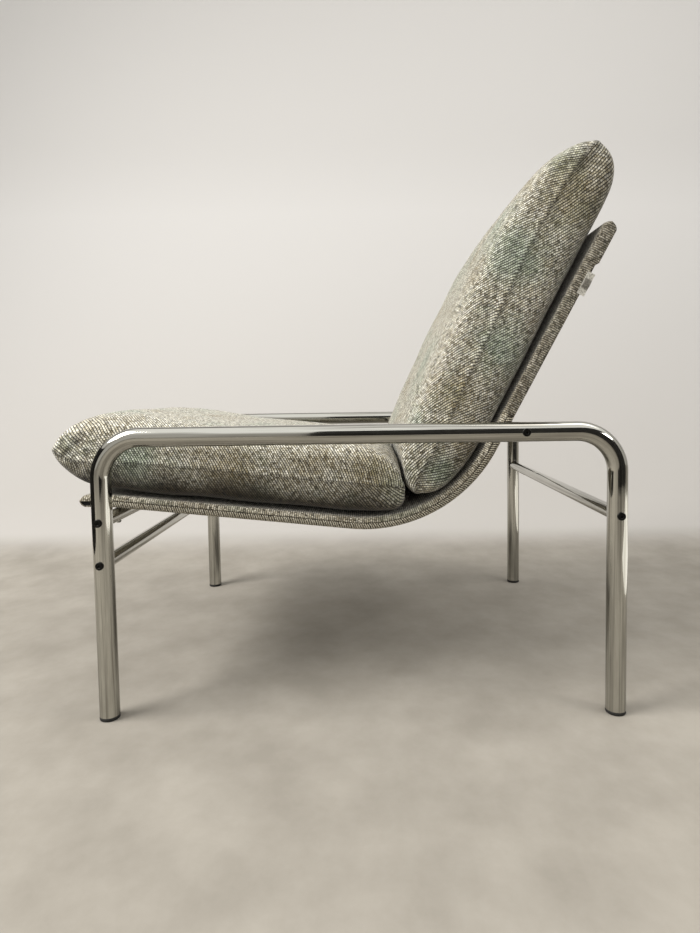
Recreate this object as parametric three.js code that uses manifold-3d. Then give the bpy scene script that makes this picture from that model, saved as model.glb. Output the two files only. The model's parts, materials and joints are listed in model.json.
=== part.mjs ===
// Lounge chair: two bent side tubes, four cross tubes, a fabric sling on a light
// tube frame and two loose cushions. Millimetres, +Z up, the sitter faces -Y and
// +X is the sitter's left. The origin is on the floor, under the middle of the chair.

import * as THREE from 'three';
import { mergeVertices } from 'three/addons/utils/BufferGeometryUtils.js';
import Module from 'manifold-3d';

const wasm = await Module();
wasm.setup();

// Fits and cuts
const fitGap = 0.3;
const cutOverrun = 3;

// Both cushions lie between the armrests and hide the sling's edges from above
const cushionWidth = 525;
const armClearance = 23.5;
const slingInset = 9.5;

// Side frames: one bent tube on each side makes two legs and an armrest
const legSpacing = 730;
const armHeight = 420;
const tubeDiameter = 28;
const tubeWall = 2;
const tubeBendRadius = 58;

// Foot glides
const glideHeight = 5;
const glideStemLength = 14;
const glideStemWall = 2.5;

// Cross tubes between the side frames
const crossDiameter = 20;
const crossWall = 1.5;
const seatTubeHeight = 287;
const stretcherDrop = 60.5;
const supportInset = 131.5;

// Bolts through the side frames into the threaded plugs of the cross tubes
const boltDiameter = 6;
const boltHeadDiameter = 11.5;
const boltHeadRise = 2.6;
const boltSocketDiameter = 4.6;
const boltSocketDepth = 1.6;
const boltEngagement = 16;
const insertLength = 22;

// Seat frame and sling: a seat line and a back line joined by one wide bend
const bandThickness = 18;
const clothThickness = 1.2;
const slingEdgeRound = 3;
const seatSlopeDegrees = 6;
const backSlopeDegrees = 61.7;
const slingBendRadius = 223;
const noseReach = 38;
const cushionOverTop = 102;
const noseDroopDegrees = 5;
const noseBendAhead = 10;
const railWall = 1.5;
const plugFlange = 2;
const plugDish = 0.8;
const plugStemLength = 10;
const mouthWidth = 24;
const mouthLength = 15;

// Screws that hold the seat frame on the cross tubes
const screwDiameter = 5;
const screwHeadDiameter = 9;
const screwHeadHeight = 2.8;
const screwEngagement = 5;

// Blank woven tab at the sling's edge
const tabLength = 34;
const tabWidth = 12;
const tabThickness = 0.8;
const tabProud = 6;
const tabUpBack = 274;

// Loose cushions
const seatCushion = {
  length: 550,
  thickness: 124,
  bendReach: 84,
  crown: 6,
  edgeRound: 34,
  drawIn: 12,
};
const backCushion = {
  length: 595,
  thickness: 141,
  bendReach: 122,
  crown: 6,
  edgeRound: 36,
  drawIn: 14,
};

// Cushion outlines seen from the side, as shares of length and thickness. They run
// from the last point on the sling, round the outer end, over the top to the bend.
const seatOutlineShares = [
  [0.8, 0], [0.853, 0.07], [0.903, 0.165], [0.947, 0.285], [0.982, 0.4],
  [1, 0.52], [0.991, 0.67], [0.967, 0.81], [0.935, 0.92], [0.887, 1],
  [0.805, 1.02], [0.691, 1], [0.565, 0.967], [0.421, 0.951], [0.259, 0.951],
  [0.151, 0.959], [0.106, 0.926], [0.058, 0.82], [0.02, 0.656], [0, 0.443],
  [0.003, 0.25],
];
const backOutlineShares = [
  [0.8, 0], [0.86, 0.045], [0.91, 0.11], [0.954, 0.2], [0.987, 0.3],
  [1, 0.43], [0.988, 0.57], [0.961, 0.69], [0.928, 0.801], [0.887, 0.865],
  [0.837, 0.915], [0.787, 0.95], [0.737, 0.989], [0.62, 1], [0.503, 0.993],
  [0.37, 0.965], [0.253, 0.935], [0.17, 0.91], [0.112, 0.885], [0.063, 0.794],
  [0.03, 0.667], [0.008, 0.532], [0.005, 0.411], [0.028, 0.241],
];
// Where the two cushions press on each other: a share of the bend's turn, the
// height of that place above the sling, and how far the pressed faces lean forward
const meetBendShare = 0.423;
const meetHeight = 64;
const meetLeanDegrees = 9.3;
const contactBendShares = [0.7, 0.35, 0];
const contactStraightShares = [0.25, 0.5, 0.75];
const undersideRoundShare = 0.28;
const sideTurnShare = 0.97;
const sideFullnessPower = 4;

// Facet counts
const tubeSides = 20;
const boreSides = 16;
const crossSides = 16;
const railSides = 12;
const smallSides = 12;
const tubeBendFacetDegrees = 11.25;
const slingBendFacetDegrees = 4.25;
const capSteps = 6;
const cushionAround = 42;
const cushionRings = 6;

// Sizes that follow from the ones above
const tubeRadius = tubeDiameter / 2;
const crossRadius = crossDiameter / 2;
const frameX = cushionWidth / 2 + armClearance + tubeRadius;
const slingWidth = cushionWidth - 2 * slingInset;
const legY = legSpacing / 2;
const armAxisZ = armHeight - tubeRadius;
const boreRadius = tubeRadius - tubeWall;
const crossBoreRadius = crossRadius - crossWall;
const insertRadius = crossBoreRadius - fitGap;
const boltHoleRadius = boltDiameter / 2 + fitGap;
const screwHoleRadius = screwDiameter / 2 + fitGap;
const bandHalf = bandThickness / 2;
const railRadius = bandHalf - clothThickness - fitGap;
const railX = slingWidth / 2 - clothThickness - fitGap - railRadius;
const seatSlope = THREE.MathUtils.degToRad(seatSlopeDegrees);
const backSlope = THREE.MathUtils.degToRad(backSlopeDegrees);
const centreBendRadius = slingBendRadius - bandHalf;
const restRadius = slingBendRadius - bandThickness;

// Where each cross tube runs, in the side view (y, z), and what its ends meet
const crossTubes = [
  { place: 'front_upper', y: -legY, z: seatTubeHeight, meets: 'leg' },
  { place: 'front_lower', y: -legY, z: seatTubeHeight - stretcherDrop, meets: 'leg' },
  { place: 'rear', y: legY, z: seatTubeHeight, meets: 'leg' },
  { place: 'back_support', y: legY - supportInset, z: armAxisZ, meets: 'arm' },
];
const frontUpperTube = crossTubes[0];
const supportTube = crossTubes[3];

// Finishes
const finishes = {
  chrome: { color: 0xc9cac8, roughness: 0.12, metalness: 1 },
  blackScrew: { color: 0x161616, roughness: 0.4, metalness: 0.6 },
  rubber: { color: 0x1c1b1a, roughness: 0.8, metalness: 0 },
  zincSteel: { color: 0x9a9a96, roughness: 0.4, metalness: 1 },
  slingCloth: { color: 0x9b9786, roughness: 0.95, metalness: 0 },
  pad: { color: 0xd9d2bd, roughness: 1, metalness: 0 },
  tweed: { color: 0xa7a08c, roughness: 0.95, metalness: 0 },
  tab: { color: 0xc9c7bf, roughness: 0.9, metalness: 0 },
};

const chair = new THREE.Group();

function addPiece(name, geometry, finish) {
  const mesh = new THREE.Mesh(geometry, new THREE.MeshStandardMaterial(finishes[finish]));
  mesh.name = name;
  chair.add(mesh);
  return mesh;
}

// Solids that can be cut and joined
function solidOf(geometry) {
  const bare = geometry.clone();
  bare.deleteAttribute('normal');
  bare.deleteAttribute('uv');
  const merged = mergeVertices(bare);
  return new wasm.Manifold(new wasm.Mesh({
    numProp: 3,
    vertProperties: new Float32Array(merged.attributes.position.array),
    triVerts: new Uint32Array(merged.index.array),
  }));
}

function geometryOf(solid) {
  const { vertProperties, triVerts } = solid.getMesh();
  const geometry = new THREE.BufferGeometry();
  geometry.setAttribute('position', new THREE.BufferAttribute(vertProperties, 3));
  geometry.setIndex(new THREE.BufferAttribute(triVerts, 1));
  geometry.computeVertexNormals();
  return geometry;
}

// A round bar between two points
function barGeometry(radius, from, to, sides) {
  const along = new THREE.Vector3().subVectors(to, from);
  const geometry = new THREE.CylinderGeometry(radius, radius, along.length(), sides);
  const upright = new THREE.Vector3(0, 1, 0);
  const turn = new THREE.Quaternion().setFromUnitVectors(upright, along.clone().normalize());
  geometry.applyQuaternion(turn);
  const middle = new THREE.Vector3().addVectors(from, to).multiplyScalar(0.5);
  geometry.translate(middle.x, middle.y, middle.z);
  return geometry;
}

function bar(radius, from, to, sides) {
  return solidOf(barGeometry(radius, from, to, sides));
}

// A turned piece from its profile of (radius, distance), set along a direction
function turned(profile, base, direction, sides) {
  const points = profile.map(([radius, distance]) => new THREE.Vector2(radius, distance));
  const geometry = new THREE.LatheGeometry(points, sides);
  const upright = new THREE.Vector3(0, 1, 0);
  geometry.applyQuaternion(new THREE.Quaternion().setFromUnitVectors(upright, direction));
  geometry.translate(base.x, base.y, base.z);
  return solidOf(geometry);
}

// A route in the side view that is straight except for rounded corners. It keeps
// only the stations where its direction changes, each with its tangent.
function roundedRoute(corners, radius, facetDegrees) {
  const stations = [];
  const straight = (from, to) => new THREE.Vector2().subVectors(to, from).normalize();
  stations.push({ point: corners[0].clone(), tangent: straight(corners[0], corners[1]) });
  for (let i = 1; i < corners.length - 1; i += 1) {
    const before = straight(corners[i - 1], corners[i]);
    const after = straight(corners[i], corners[i + 1]);
    const turn = Math.atan2(before.cross(after), before.dot(after));
    const steps = Math.max(1, Math.round(THREE.MathUtils.radToDeg(Math.abs(turn)) / facetDegrees));
    const setback = radius * Math.tan(Math.abs(turn) / 2);
    const start = corners[i].clone().addScaledVector(before, -setback);
    const side = new THREE.Vector2(-before.y, before.x).multiplyScalar(Math.sign(turn));
    const centre = start.clone().addScaledVector(side, radius);
    for (let k = 0; k <= steps; k += 1) {
      const angle = (turn * k) / steps;
      const origin = new THREE.Vector2();
      stations.push({
        point: start.clone().rotateAround(centre, angle),
        tangent: before.clone().rotateAround(origin, angle),
      });
    }
  }
  const last = corners.length - 1;
  stations.push({ point: corners[last].clone(), tangent: straight(corners[last - 1], corners[last]) });
  return stations;
}

// The same route in space, at one x, as a curve with a ring at each station
class StationCurve extends THREE.Curve {
  constructor(stations, x) {
    super();
    this.points = stations.map(({ point }) => new THREE.Vector3(x, point.x, point.y));
    this.tangents = stations.map(({ tangent }) => new THREE.Vector3(0, tangent.x, tangent.y));
  }

  getPointAt(share) {
    return this.points[Math.round(share * (this.points.length - 1))].clone();
  }

  getTangentAt(share) {
    return this.tangents[Math.round(share * (this.points.length - 1))].clone();
  }
}

function disc(radius, sides) {
  const points = [];
  for (let i = 0; i < sides; i += 1) {
    const angle = ((i + 0.5) / sides) * 2 * Math.PI;
    points.push(new THREE.Vector2(radius * Math.cos(angle), radius * Math.sin(angle)));
  }
  return new THREE.Shape(points);
}

function rodAlong(stations, x, radius, sides) {
  const curve = new StationCurve(stations, x);
  return solidOf(new THREE.ExtrudeGeometry(disc(radius, sides), {
    steps: stations.length - 1,
    extrudePath: curve,
  }));
}

// The bore overruns both ends of its tube by one straight station
function longerBy(stations, overrun) {
  const first = stations[0];
  const last = stations[stations.length - 1];
  return [
    { point: first.point.clone().addScaledVector(first.tangent, -overrun), tangent: first.tangent },
    ...stations.slice(1, -1),
    { point: last.point.clone().addScaledVector(last.tangent, overrun), tangent: last.tangent },
  ];
}

// Side frames

function sideFrameRoute() {
  const foot = glideHeight + fitGap;
  const corners = [
    new THREE.Vector2(-legY, foot),
    new THREE.Vector2(-legY, armAxisZ),
    new THREE.Vector2(legY, armAxisZ),
    new THREE.Vector2(legY, foot),
  ];
  return roundedRoute(corners, tubeBendRadius, tubeBendFacetDegrees);
}

function buildSideFrame(name, side) {
  const route = sideFrameRoute();
  const x = side * frameX;
  const outer = rodAlong(route, x, tubeRadius, tubeSides);
  let tube = outer.subtract(rodAlong(longerBy(route, cutOverrun), x, boreRadius, boreSides));
  const reach = tubeRadius + cutOverrun;
  for (const { y, z } of crossTubes) {
    const inside = new THREE.Vector3(x - reach, y, z);
    const outside = new THREE.Vector3(x + reach, y, z);
    tube = tube.subtract(bar(boltHoleRadius, inside, outside, smallSides));
  }
  addPiece(name, geometryOf(tube), 'chrome');
}

function buildGlide(name, x, y) {
  const stemRadius = boreRadius - fitGap;
  const top = glideHeight + glideStemLength;
  const profile = [
    [0, 0],
    [tubeRadius, 0],
    [tubeRadius, glideHeight],
    [stemRadius, glideHeight],
    [stemRadius, top],
    [stemRadius - glideStemWall, top],
    [stemRadius - glideStemWall, glideHeight],
    [0, glideHeight],
  ];
  const up = new THREE.Vector3(0, 0, 1);
  addPiece(name, geometryOf(turned(profile, new THREE.Vector3(x, y, 0), up, boreSides)), 'rubber');
}

// Cross tubes, coped round the side tubes that they meet

function sideTubeDummy({ y, z, meets }, side) {
  const x = side * frameX;
  const radius = tubeRadius + fitGap;
  const reach = tubeDiameter;
  if (meets === 'arm') {
    return bar(radius, new THREE.Vector3(x, y - reach, z), new THREE.Vector3(x, y + reach, z), tubeSides);
  }
  return bar(radius, new THREE.Vector3(x, y, z - reach), new THREE.Vector3(x, y, z + reach), tubeSides);
}

// How far from the side tube's axis the coped end is fully round
const copeDepth = Math.sqrt((tubeRadius + fitGap) ** 2 - crossRadius ** 2);

function buildCrossTube(tube) {
  const end = frameX - copeDepth;
  const from = new THREE.Vector3(-end, tube.y, tube.z);
  const to = new THREE.Vector3(end, tube.y, tube.z);
  const overrun = new THREE.Vector3(cutOverrun, 0, 0);
  let solid = bar(crossRadius, from, to, crossSides);
  const bore = bar(crossBoreRadius, from.clone().sub(overrun), to.clone().add(overrun), crossSides);
  solid = solid.subtract(bore);
  for (const side of [-1, 1]) {
    solid = solid.subtract(sideTubeDummy(tube, side));
  }
  for (const screw of seatScrews()) {
    if (screw.tube === tube) {
      solid = solid.subtract(screwHole(screw, -crossRadius - cutOverrun, crossRadius + cutOverrun));
    }
  }
  addPiece(`cross_tube_${tube.place}`, geometryOf(solid), 'chrome');
}

// Bolts and the threaded plugs that they grip

const insertFace = frameX - tubeRadius - fitGap;

function buildBolt(name, { y, z, meets }, side) {
  const outward = new THREE.Vector3(side, 0, 0);
  const shankEnd = insertFace - boltEngagement;
  const headTop = frameX + tubeRadius + boltHeadRise;
  const headRim = headTop - boltHeadRise / 2;
  const chamferRadius = boltHeadDiameter / 2 - boltHeadRise / 2;
  const profile = [
    [0, shankEnd],
    [boltDiameter / 2, shankEnd],
    [boltDiameter / 2, frameX],
    [boltHeadDiameter / 2, frameX],
    [boltHeadDiameter / 2, headRim],
    [chamferRadius, headTop],
    [boltSocketDiameter / 2, headTop],
    [boltSocketDiameter / 2, headTop - boltSocketDepth],
    [0, headTop - boltSocketDepth],
  ];
  const base = new THREE.Vector3(0, y, z);
  const blank = turned(profile, base, outward, smallSides);
  const core = bar(boltDiameter / 2, new THREE.Vector3(0, y, z),
    new THREE.Vector3(side * (frameX + tubeRadius), y, z), smallSides);
  const saddle = sideTubeDummy({ y, z, meets }, side).subtract(core);
  addPiece(name, geometryOf(blank.subtract(saddle)), 'blackScrew');
}

function buildInsert(name, { y, z }, side) {
  const inner = insertFace - insertLength;
  const from = new THREE.Vector3(side * inner, y, z);
  const to = new THREE.Vector3(side * insertFace, y, z);
  const past = new THREE.Vector3(side * (insertFace + cutOverrun), y, z);
  const before = new THREE.Vector3(side * (inner - cutOverrun), y, z);
  const body = bar(insertRadius, from, to, crossSides);
  const bored = body.subtract(bar(boltHoleRadius, before, past, smallSides));
  addPiece(name, geometryOf(bored), 'zincSteel');
}

// The sling's line in the side view, laid against the two tubes that carry it

const seatForward = new THREE.Vector2(-Math.cos(seatSlope), Math.sin(seatSlope));
const seatUp = new THREE.Vector2(Math.sin(seatSlope), Math.cos(seatSlope));
const backUpward = new THREE.Vector2(Math.cos(backSlope), Math.sin(backSlope));
const backForward = new THREE.Vector2(-Math.sin(backSlope), Math.cos(backSlope));
const noseSlope = seatSlope - THREE.MathUtils.degToRad(noseDroopDegrees);
const noseForward = new THREE.Vector2(-Math.cos(noseSlope), Math.sin(noseSlope));
const noseUp = new THREE.Vector2(Math.sin(noseSlope), Math.cos(noseSlope));

const railCentreStand = crossRadius + fitGap + bandHalf;
const onSeat = new THREE.Vector2(frontUpperTube.y, frontUpperTube.z)
  .addScaledVector(seatUp, railCentreStand);
const onBack = new THREE.Vector2(supportTube.y, supportTube.z)
  .addScaledVector(backForward, railCentreStand);

function slingCorner() {
  const apart = new THREE.Vector2().subVectors(onBack, onSeat);
  const rearward = apart.cross(backUpward) / seatForward.cross(backUpward);
  return onSeat.clone().addScaledVector(seatForward, rearward);
}

const corner = slingCorner();
const bendSetback = centreBendRadius * Math.tan((seatSlope + backSlope) / 2);
const seatTangentPoint = corner.clone().addScaledVector(seatForward, bendSetback);
const backTangentPoint = corner.clone().addScaledVector(backUpward, bendSetback);
const backReach = backCushion.length - backCushion.bendReach - cushionOverTop;
const noseCorner = onSeat.clone().addScaledVector(seatForward, noseBendAhead);
const frontEnd = noseCorner.clone().addScaledVector(noseForward, noseReach);
const topEnd = backTangentPoint.clone().addScaledVector(backUpward, backReach - bandHalf);

function slingRoute(trim = 0) {
  const front = frontEnd.clone().addScaledVector(noseForward, -trim);
  const top = topEnd.clone().addScaledVector(backUpward, -trim);
  return roundedRoute([front, noseCorner, corner, top], centreBendRadius, slingBendFacetDegrees);
}

// A band of even thickness along the sling's line, with round or square ends
function bandOutline(stations, half, round) {
  const normal = ({ tangent }) => new THREE.Vector2(-tangent.y, tangent.x);
  const offset = (station, by) => station.point.clone().addScaledVector(normal(station), by);
  const cap = (station, from) => {
    const points = [];
    for (let k = 1; round && k < capSteps; k += 1) {
      points.push(offset(station, from).rotateAround(station.point, (Math.PI * k) / capSteps));
    }
    return points;
  };
  return new THREE.Shape([
    ...stations.map((station) => offset(station, -half)),
    ...cap(stations[stations.length - 1], -half),
    ...stations.slice().reverse().map((station) => offset(station, half)),
    ...cap(stations[0], half),
  ]);
}

// The side view's axes turned into space, so that extrusion runs along X
const sideView = new THREE.Matrix4().makeBasis(
  new THREE.Vector3(0, 1, 0),
  new THREE.Vector3(0, 0, 1),
  new THREE.Vector3(1, 0, 0),
);

function inSpace(x, point) {
  return new THREE.Vector3(x, point.x, point.y);
}

function prism(points, fromX, toX) {
  const options = { depth: toX - fromX, bevelEnabled: false };
  const geometry = new THREE.ExtrudeGeometry(new THREE.Shape(points), options);
  geometry.translate(0, 0, fromX);
  geometry.applyMatrix4(sideView);
  return solidOf(geometry);
}

function bandSolid(stations, half, width, edgeRound) {
  const round = edgeRound > 0;
  const geometry = new THREE.ExtrudeGeometry(bandOutline(stations, half, round), {
    depth: width - 2 * edgeRound,
    bevelEnabled: round,
    bevelThickness: edgeRound,
    bevelSize: edgeRound,
    bevelOffset: -edgeRound,
    bevelSegments: 2,
  });
  geometry.translate(0, 0, edgeRound - width / 2);
  geometry.applyMatrix4(sideView);
  return solidOf(geometry);
}

// Screws from each carrying tube into both side rails of the seat frame
function seatScrews() {
  return [[1, 'left'], [-1, 'right']].flatMap(([side, hand]) => [
    { name: `seat_screw_front_${hand}`, tube: frontUpperTube, x: side * railX, aim: seatUp },
    { name: `seat_screw_back_${hand}`, tube: supportTube, x: side * railX, aim: backForward },
  ]);
}

function screwHole({ tube, x, aim }, from, to) {
  const centre = new THREE.Vector3(x, tube.y, tube.z);
  const direction = inSpace(0, aim);
  const start = centre.clone().addScaledVector(direction, from);
  const finish = centre.clone().addScaledVector(direction, to);
  return bar(screwHoleRadius, start, finish, smallSides);
}

function buildScrew({ name, tube, x, aim }) {
  const seat = -crossRadius - fitGap;
  const tip = crossRadius + fitGap + clothThickness + fitGap + screwEngagement;
  const rim = seat - screwHeadHeight / 2;
  const profile = [
    [0, seat - screwHeadHeight],
    [screwHeadDiameter / 2 - screwHeadHeight / 2, seat - screwHeadHeight],
    [screwHeadDiameter / 2, rim],
    [screwHeadDiameter / 2, seat],
    [screwDiameter / 2, seat],
    [screwDiameter / 2, tip],
    [0, tip],
  ];
  const base = new THREE.Vector3(x, tube.y, tube.z);
  const screw = turned(profile, base, inSpace(0, aim), smallSides);
  addPiece(name, geometryOf(screw), 'zincSteel');
}

// Seat frame inside the sling: two bent side rails, a front rail and a top rail

function buildSideRail(name, side) {
  const x = side * railX;
  const route = slingRoute();
  const boreOfRail = rodAlong(longerBy(route, cutOverrun), x, railRadius - railWall, railSides);
  let rail = rodAlong(route, x, railRadius, railSides).subtract(boreOfRail);
  for (const end of [frontEnd, topEnd]) {
    const from = inSpace(x - bandThickness, end);
    const to = inSpace(x + bandThickness, end);
    rail = rail.subtract(bar(railRadius + fitGap, from, to, tubeSides));
  }
  for (const screw of seatScrews()) {
    if (screw.x === x) {
      rail = rail.subtract(screwHole(screw, 0, railCentreStand));
    }
  }
  addPiece(name, geometryOf(rail), 'zincSteel');
}

const railEndX = slingWidth / 2 - slingEdgeRound - fitGap;

function buildEndRail(name, end, endX) {
  const outer = bar(railRadius, inSpace(-endX, end), inSpace(endX, end), railSides);
  const past = endX + cutOverrun;
  const bore = bar(railRadius - railWall, inSpace(-past, end), inSpace(past, end), railSides);
  addPiece(name, geometryOf(outer.subtract(bore)), 'zincSteel');
}

function buildRailPlug(name, side) {
  const inner = railEndX - plugFlange;
  const stemRadius = railRadius - railWall - fitGap;
  const profile = [
    [0, inner - plugStemLength],
    [stemRadius, inner - plugStemLength],
    [stemRadius, inner],
    [railRadius, inner],
    [railRadius, railEndX],
    [stemRadius, railEndX],
    [stemRadius / 2, railEndX - plugDish],
    [0, railEndX - plugDish],
  ];
  const outward = new THREE.Vector3(side, 0, 0);
  addPiece(name, geometryOf(turned(profile, inSpace(0, frontEnd), outward, railSides)), 'rubber');
}

// Sling: a cloth sleeve drawn over the seat frame, with a thin pad between the rails

function mouthCut(side) {
  const ahead = bandHalf + cutOverrun;
  const corners = [
    frontEnd.clone().addScaledVector(noseForward, ahead),
    frontEnd.clone().addScaledVector(noseForward, -mouthLength),
  ];
  const lower = corners.map((point) => point.clone().addScaledVector(noseUp, -ahead));
  const x = side * (slingWidth / 2 - mouthWidth);
  const past = side * (slingWidth / 2 + cutOverrun);
  const points = [corners[0], lower[0], lower[1], corners[1]];
  return prism(points, Math.min(x, past), Math.max(x, past));
}

function buildSlingCover() {
  const insideWidth = slingWidth - 2 * clothThickness;
  const outer = bandSolid(slingRoute(), bandHalf, slingWidth, slingEdgeRound);
  const inner = bandSolid(slingRoute(), bandHalf - clothThickness, insideWidth,
    slingEdgeRound - clothThickness);
  let cover = outer.subtract(inner).subtract(mouthCut(-1)).subtract(mouthCut(1));
  for (const screw of seatScrews()) {
    cover = cover.subtract(screwHole(screw, 0, railCentreStand));
  }
  addPiece('sling_cover', geometryOf(cover), 'slingCloth');
}

function buildSlingPad() {
  const trim = railRadius + fitGap;
  const width = 2 * (railX - railRadius - fitGap);
  addPiece('sling_pad', geometryOf(bandSolid(slingRoute(trim), railRadius, width, 0)), 'pad');
}

function buildSlingTab() {
  const middle = backTangentPoint.clone().addScaledVector(backUpward, tabUpBack);
  const outerEdge = -bandHalf - tabProud;
  const place = (along, across) => middle.clone()
    .addScaledVector(backUpward, along)
    .addScaledVector(backForward, across);
  const points = [
    place(-tabLength / 2, outerEdge),
    place(tabLength / 2, outerEdge),
    place(tabLength / 2, outerEdge + tabWidth),
    place(-tabLength / 2, outerEdge + tabWidth),
  ];
  const x = slingWidth / 2 + fitGap;
  addPiece('sling_tab', geometryOf(prism(points, x, x + tabThickness)), 'tab');
}

// Cushions. Each is drawn in the side view on the sling's rest surface: distance
// along it from the bend (negative inside the bend) and height above it.

const seatRest = {
  origin: seatTangentPoint.clone().addScaledVector(seatUp, bandHalf),
  along: seatForward,
  up: seatUp,
};
const backRest = {
  origin: backTangentPoint.clone().addScaledVector(backForward, bandHalf),
  along: backUpward,
  up: backForward,
};

// The line in the side view on which the two cushions press together
const bendCentre = seatTangentPoint.clone().addScaledVector(seatUp, centreBendRadius);
const meetTurn = meetBendShare * (seatSlope + backSlope);
const meetPoint = bendCentre.clone()
  .addScaledVector(seatUp.clone().rotateAround(new THREE.Vector2(), meetTurn), meetHeight - restRadius);
const meetLean = THREE.MathUtils.degToRad(meetLeanDegrees);
const towardBack = new THREE.Vector2(Math.cos(meetLean), Math.sin(meetLean));

function keepApart(spot, side) {
  const past = side * spot.clone().sub(meetPoint).dot(towardBack);
  const excess = Math.min(past - fitGap / 2, 0);
  return spot.addScaledVector(towardBack, -side * excess);
}

// Height of the sling's rest surface, which rises inside the bend
function restHeight(distance) {
  const within = Math.min(distance, 0);
  return fitGap + restRadius - Math.sqrt(restRadius ** 2 - within ** 2);
}

function cushionOutline(cushion, outlineShares) {
  const { length, thickness, bendReach } = cushion;
  const controls = outlineShares.map(([along, up]) => {
    const distance = along * length - bendReach;
    return new THREE.Vector3(distance, Math.max(up * thickness, restHeight(distance)), 0);
  });
  const lastOnSling = controls[0].x;
  for (const share of contactBendShares) {
    const distance = -share * bendReach;
    controls.push(new THREE.Vector3(distance, restHeight(distance), 0));
  }
  for (const share of contactStraightShares) {
    controls.push(new THREE.Vector3(share * lastOnSling, restHeight(0), 0));
  }
  const curve = new THREE.CatmullRomCurve3(controls, true, 'centripetal');
  return curve.getSpacedPoints(cushionAround).slice(0, cushionAround);
}

// One ring of the cushion at a turn from its middle (0) to its side (a quarter turn)
function cushionRing(cushion, outline, turn) {
  const { length, thickness, bendReach, crown, edgeRound, drawIn } = cushion;
  const power = 2 / sideFullnessPower;
  const across = Math.sign(turn) * Math.abs(Math.sin(turn)) ** power;
  const inset = edgeRound * (1 - Math.cos(turn) ** power);
  return outline.map((point, i) => {
    const before = outline[(i + outline.length - 1) % outline.length];
    const after = outline[(i + 1) % outline.length];
    const tangent = new THREE.Vector3().subVectors(after, before).normalize();
    const under = Math.max(tangent.x, 0);
    const by = inset * (1 - (1 - undersideRoundShare) * under);
    const distance = point.x - tangent.y * by;
    const lowered = crown * across ** 2 * (point.y / thickness);
    const height = point.y + tangent.x * by - lowered;
    const fromMiddle = (2 * (point.x + bendReach)) / length - 1;
    const half = cushionWidth / 2 - drawIn * (1 - fromMiddle ** 2);
    return [across * half, distance, Math.max(height, restHeight(distance))];
  });
}

function buildCushion(name, cushion, outlineShares, rest, side) {
  const outline = cushionOutline(cushion, outlineShares);
  const rings = [];
  for (let j = -cushionRings; j <= cushionRings; j += 1) {
    const turn = (Math.PI / 2) * Math.min(Math.max(j / cushionRings, -sideTurnShare), sideTurnShare);
    rings.push(cushionRing(cushion, outline, turn));
  }
  const middleOf = (ring) => [0, 1, 2].map((axis) => (
    ring.reduce((sum, point) => sum + point[axis], 0) / ring.length));
  const points = [...rings.flat(), middleOf(rings[0]), middleOf(rings[rings.length - 1])];
  const around = outline.length;
  const index = [];
  for (let i = 0; i < around; i += 1) {
    const next = (i + 1) % around;
    for (let j = 0; j < rings.length - 1; j += 1) {
      const ring = j * around;
      const following = ring + around;
      index.push(ring + i, following + i, following + next, ring + i, following + next, ring + next);
    }
    const lastRing = (rings.length - 1) * around;
    index.push(rings.length * around, i, next);
    index.push(rings.length * around + 1, lastRing + next, lastRing + i);
  }
  const places = points.flatMap(([x, distance, height]) => {
    const spot = rest.origin.clone()
      .addScaledVector(rest.along, distance)
      .addScaledVector(rest.up, height);
    const kept = keepApart(spot, side);
    return [x, kept.x, kept.y];
  });
  const geometry = new THREE.BufferGeometry();
  geometry.setAttribute('position', new THREE.Float32BufferAttribute(places, 3));
  if (rest.along.cross(rest.up) > 0) {
    index.reverse();
  }
  geometry.setIndex(index);
  geometry.computeVertexNormals();
  addPiece(name, geometry, 'tweed');
}

// Assembly

for (const [side, hand] of [[1, 'left'], [-1, 'right']]) {
  buildSideFrame(`side_frame_${hand}`, side);
  buildGlide(`glide_front_${hand}`, side * frameX, -legY);
  buildGlide(`glide_rear_${hand}`, side * frameX, legY);
  for (const tube of crossTubes) {
    buildBolt(`bolt_${tube.place}_${hand}`, tube, side);
    buildInsert(`insert_${tube.place}_${hand}`, tube, side);
  }
  buildSideRail(`seat_rail_${hand}`, side);
  buildRailPlug(`front_rail_plug_${hand}`, side);
}
for (const tube of crossTubes) {
  buildCrossTube(tube);
}
for (const screw of seatScrews()) {
  buildScrew(screw);
}
buildEndRail('seat_front_rail', frontEnd, railEndX - plugFlange - fitGap);
buildEndRail('seat_top_rail', topEnd, railEndX);
buildSlingCover();
buildSlingPad();
buildSlingTab();
buildCushion('seat_cushion', seatCushion, seatOutlineShares, seatRest, -1);
buildCushion('back_cushion', backCushion, backOutlineShares, backRest, 1);

// The floor under the middle of the chair becomes the origin
const bounds = new THREE.Box3().setFromObject(chair);
const middle = bounds.getCenter(new THREE.Vector3());
chair.position.set(-middle.x, -middle.y, -bounds.min.z);

export default chair;
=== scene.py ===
"""Lounge chair: bent chromed tube sides, a sling on an inner frame, two loose tweed cushions."""

import json
import logging
import math
from dataclasses import dataclass
from enum import Enum

import bmesh
import bpy
import numpy as np
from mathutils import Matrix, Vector, kdtree, noise


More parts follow.
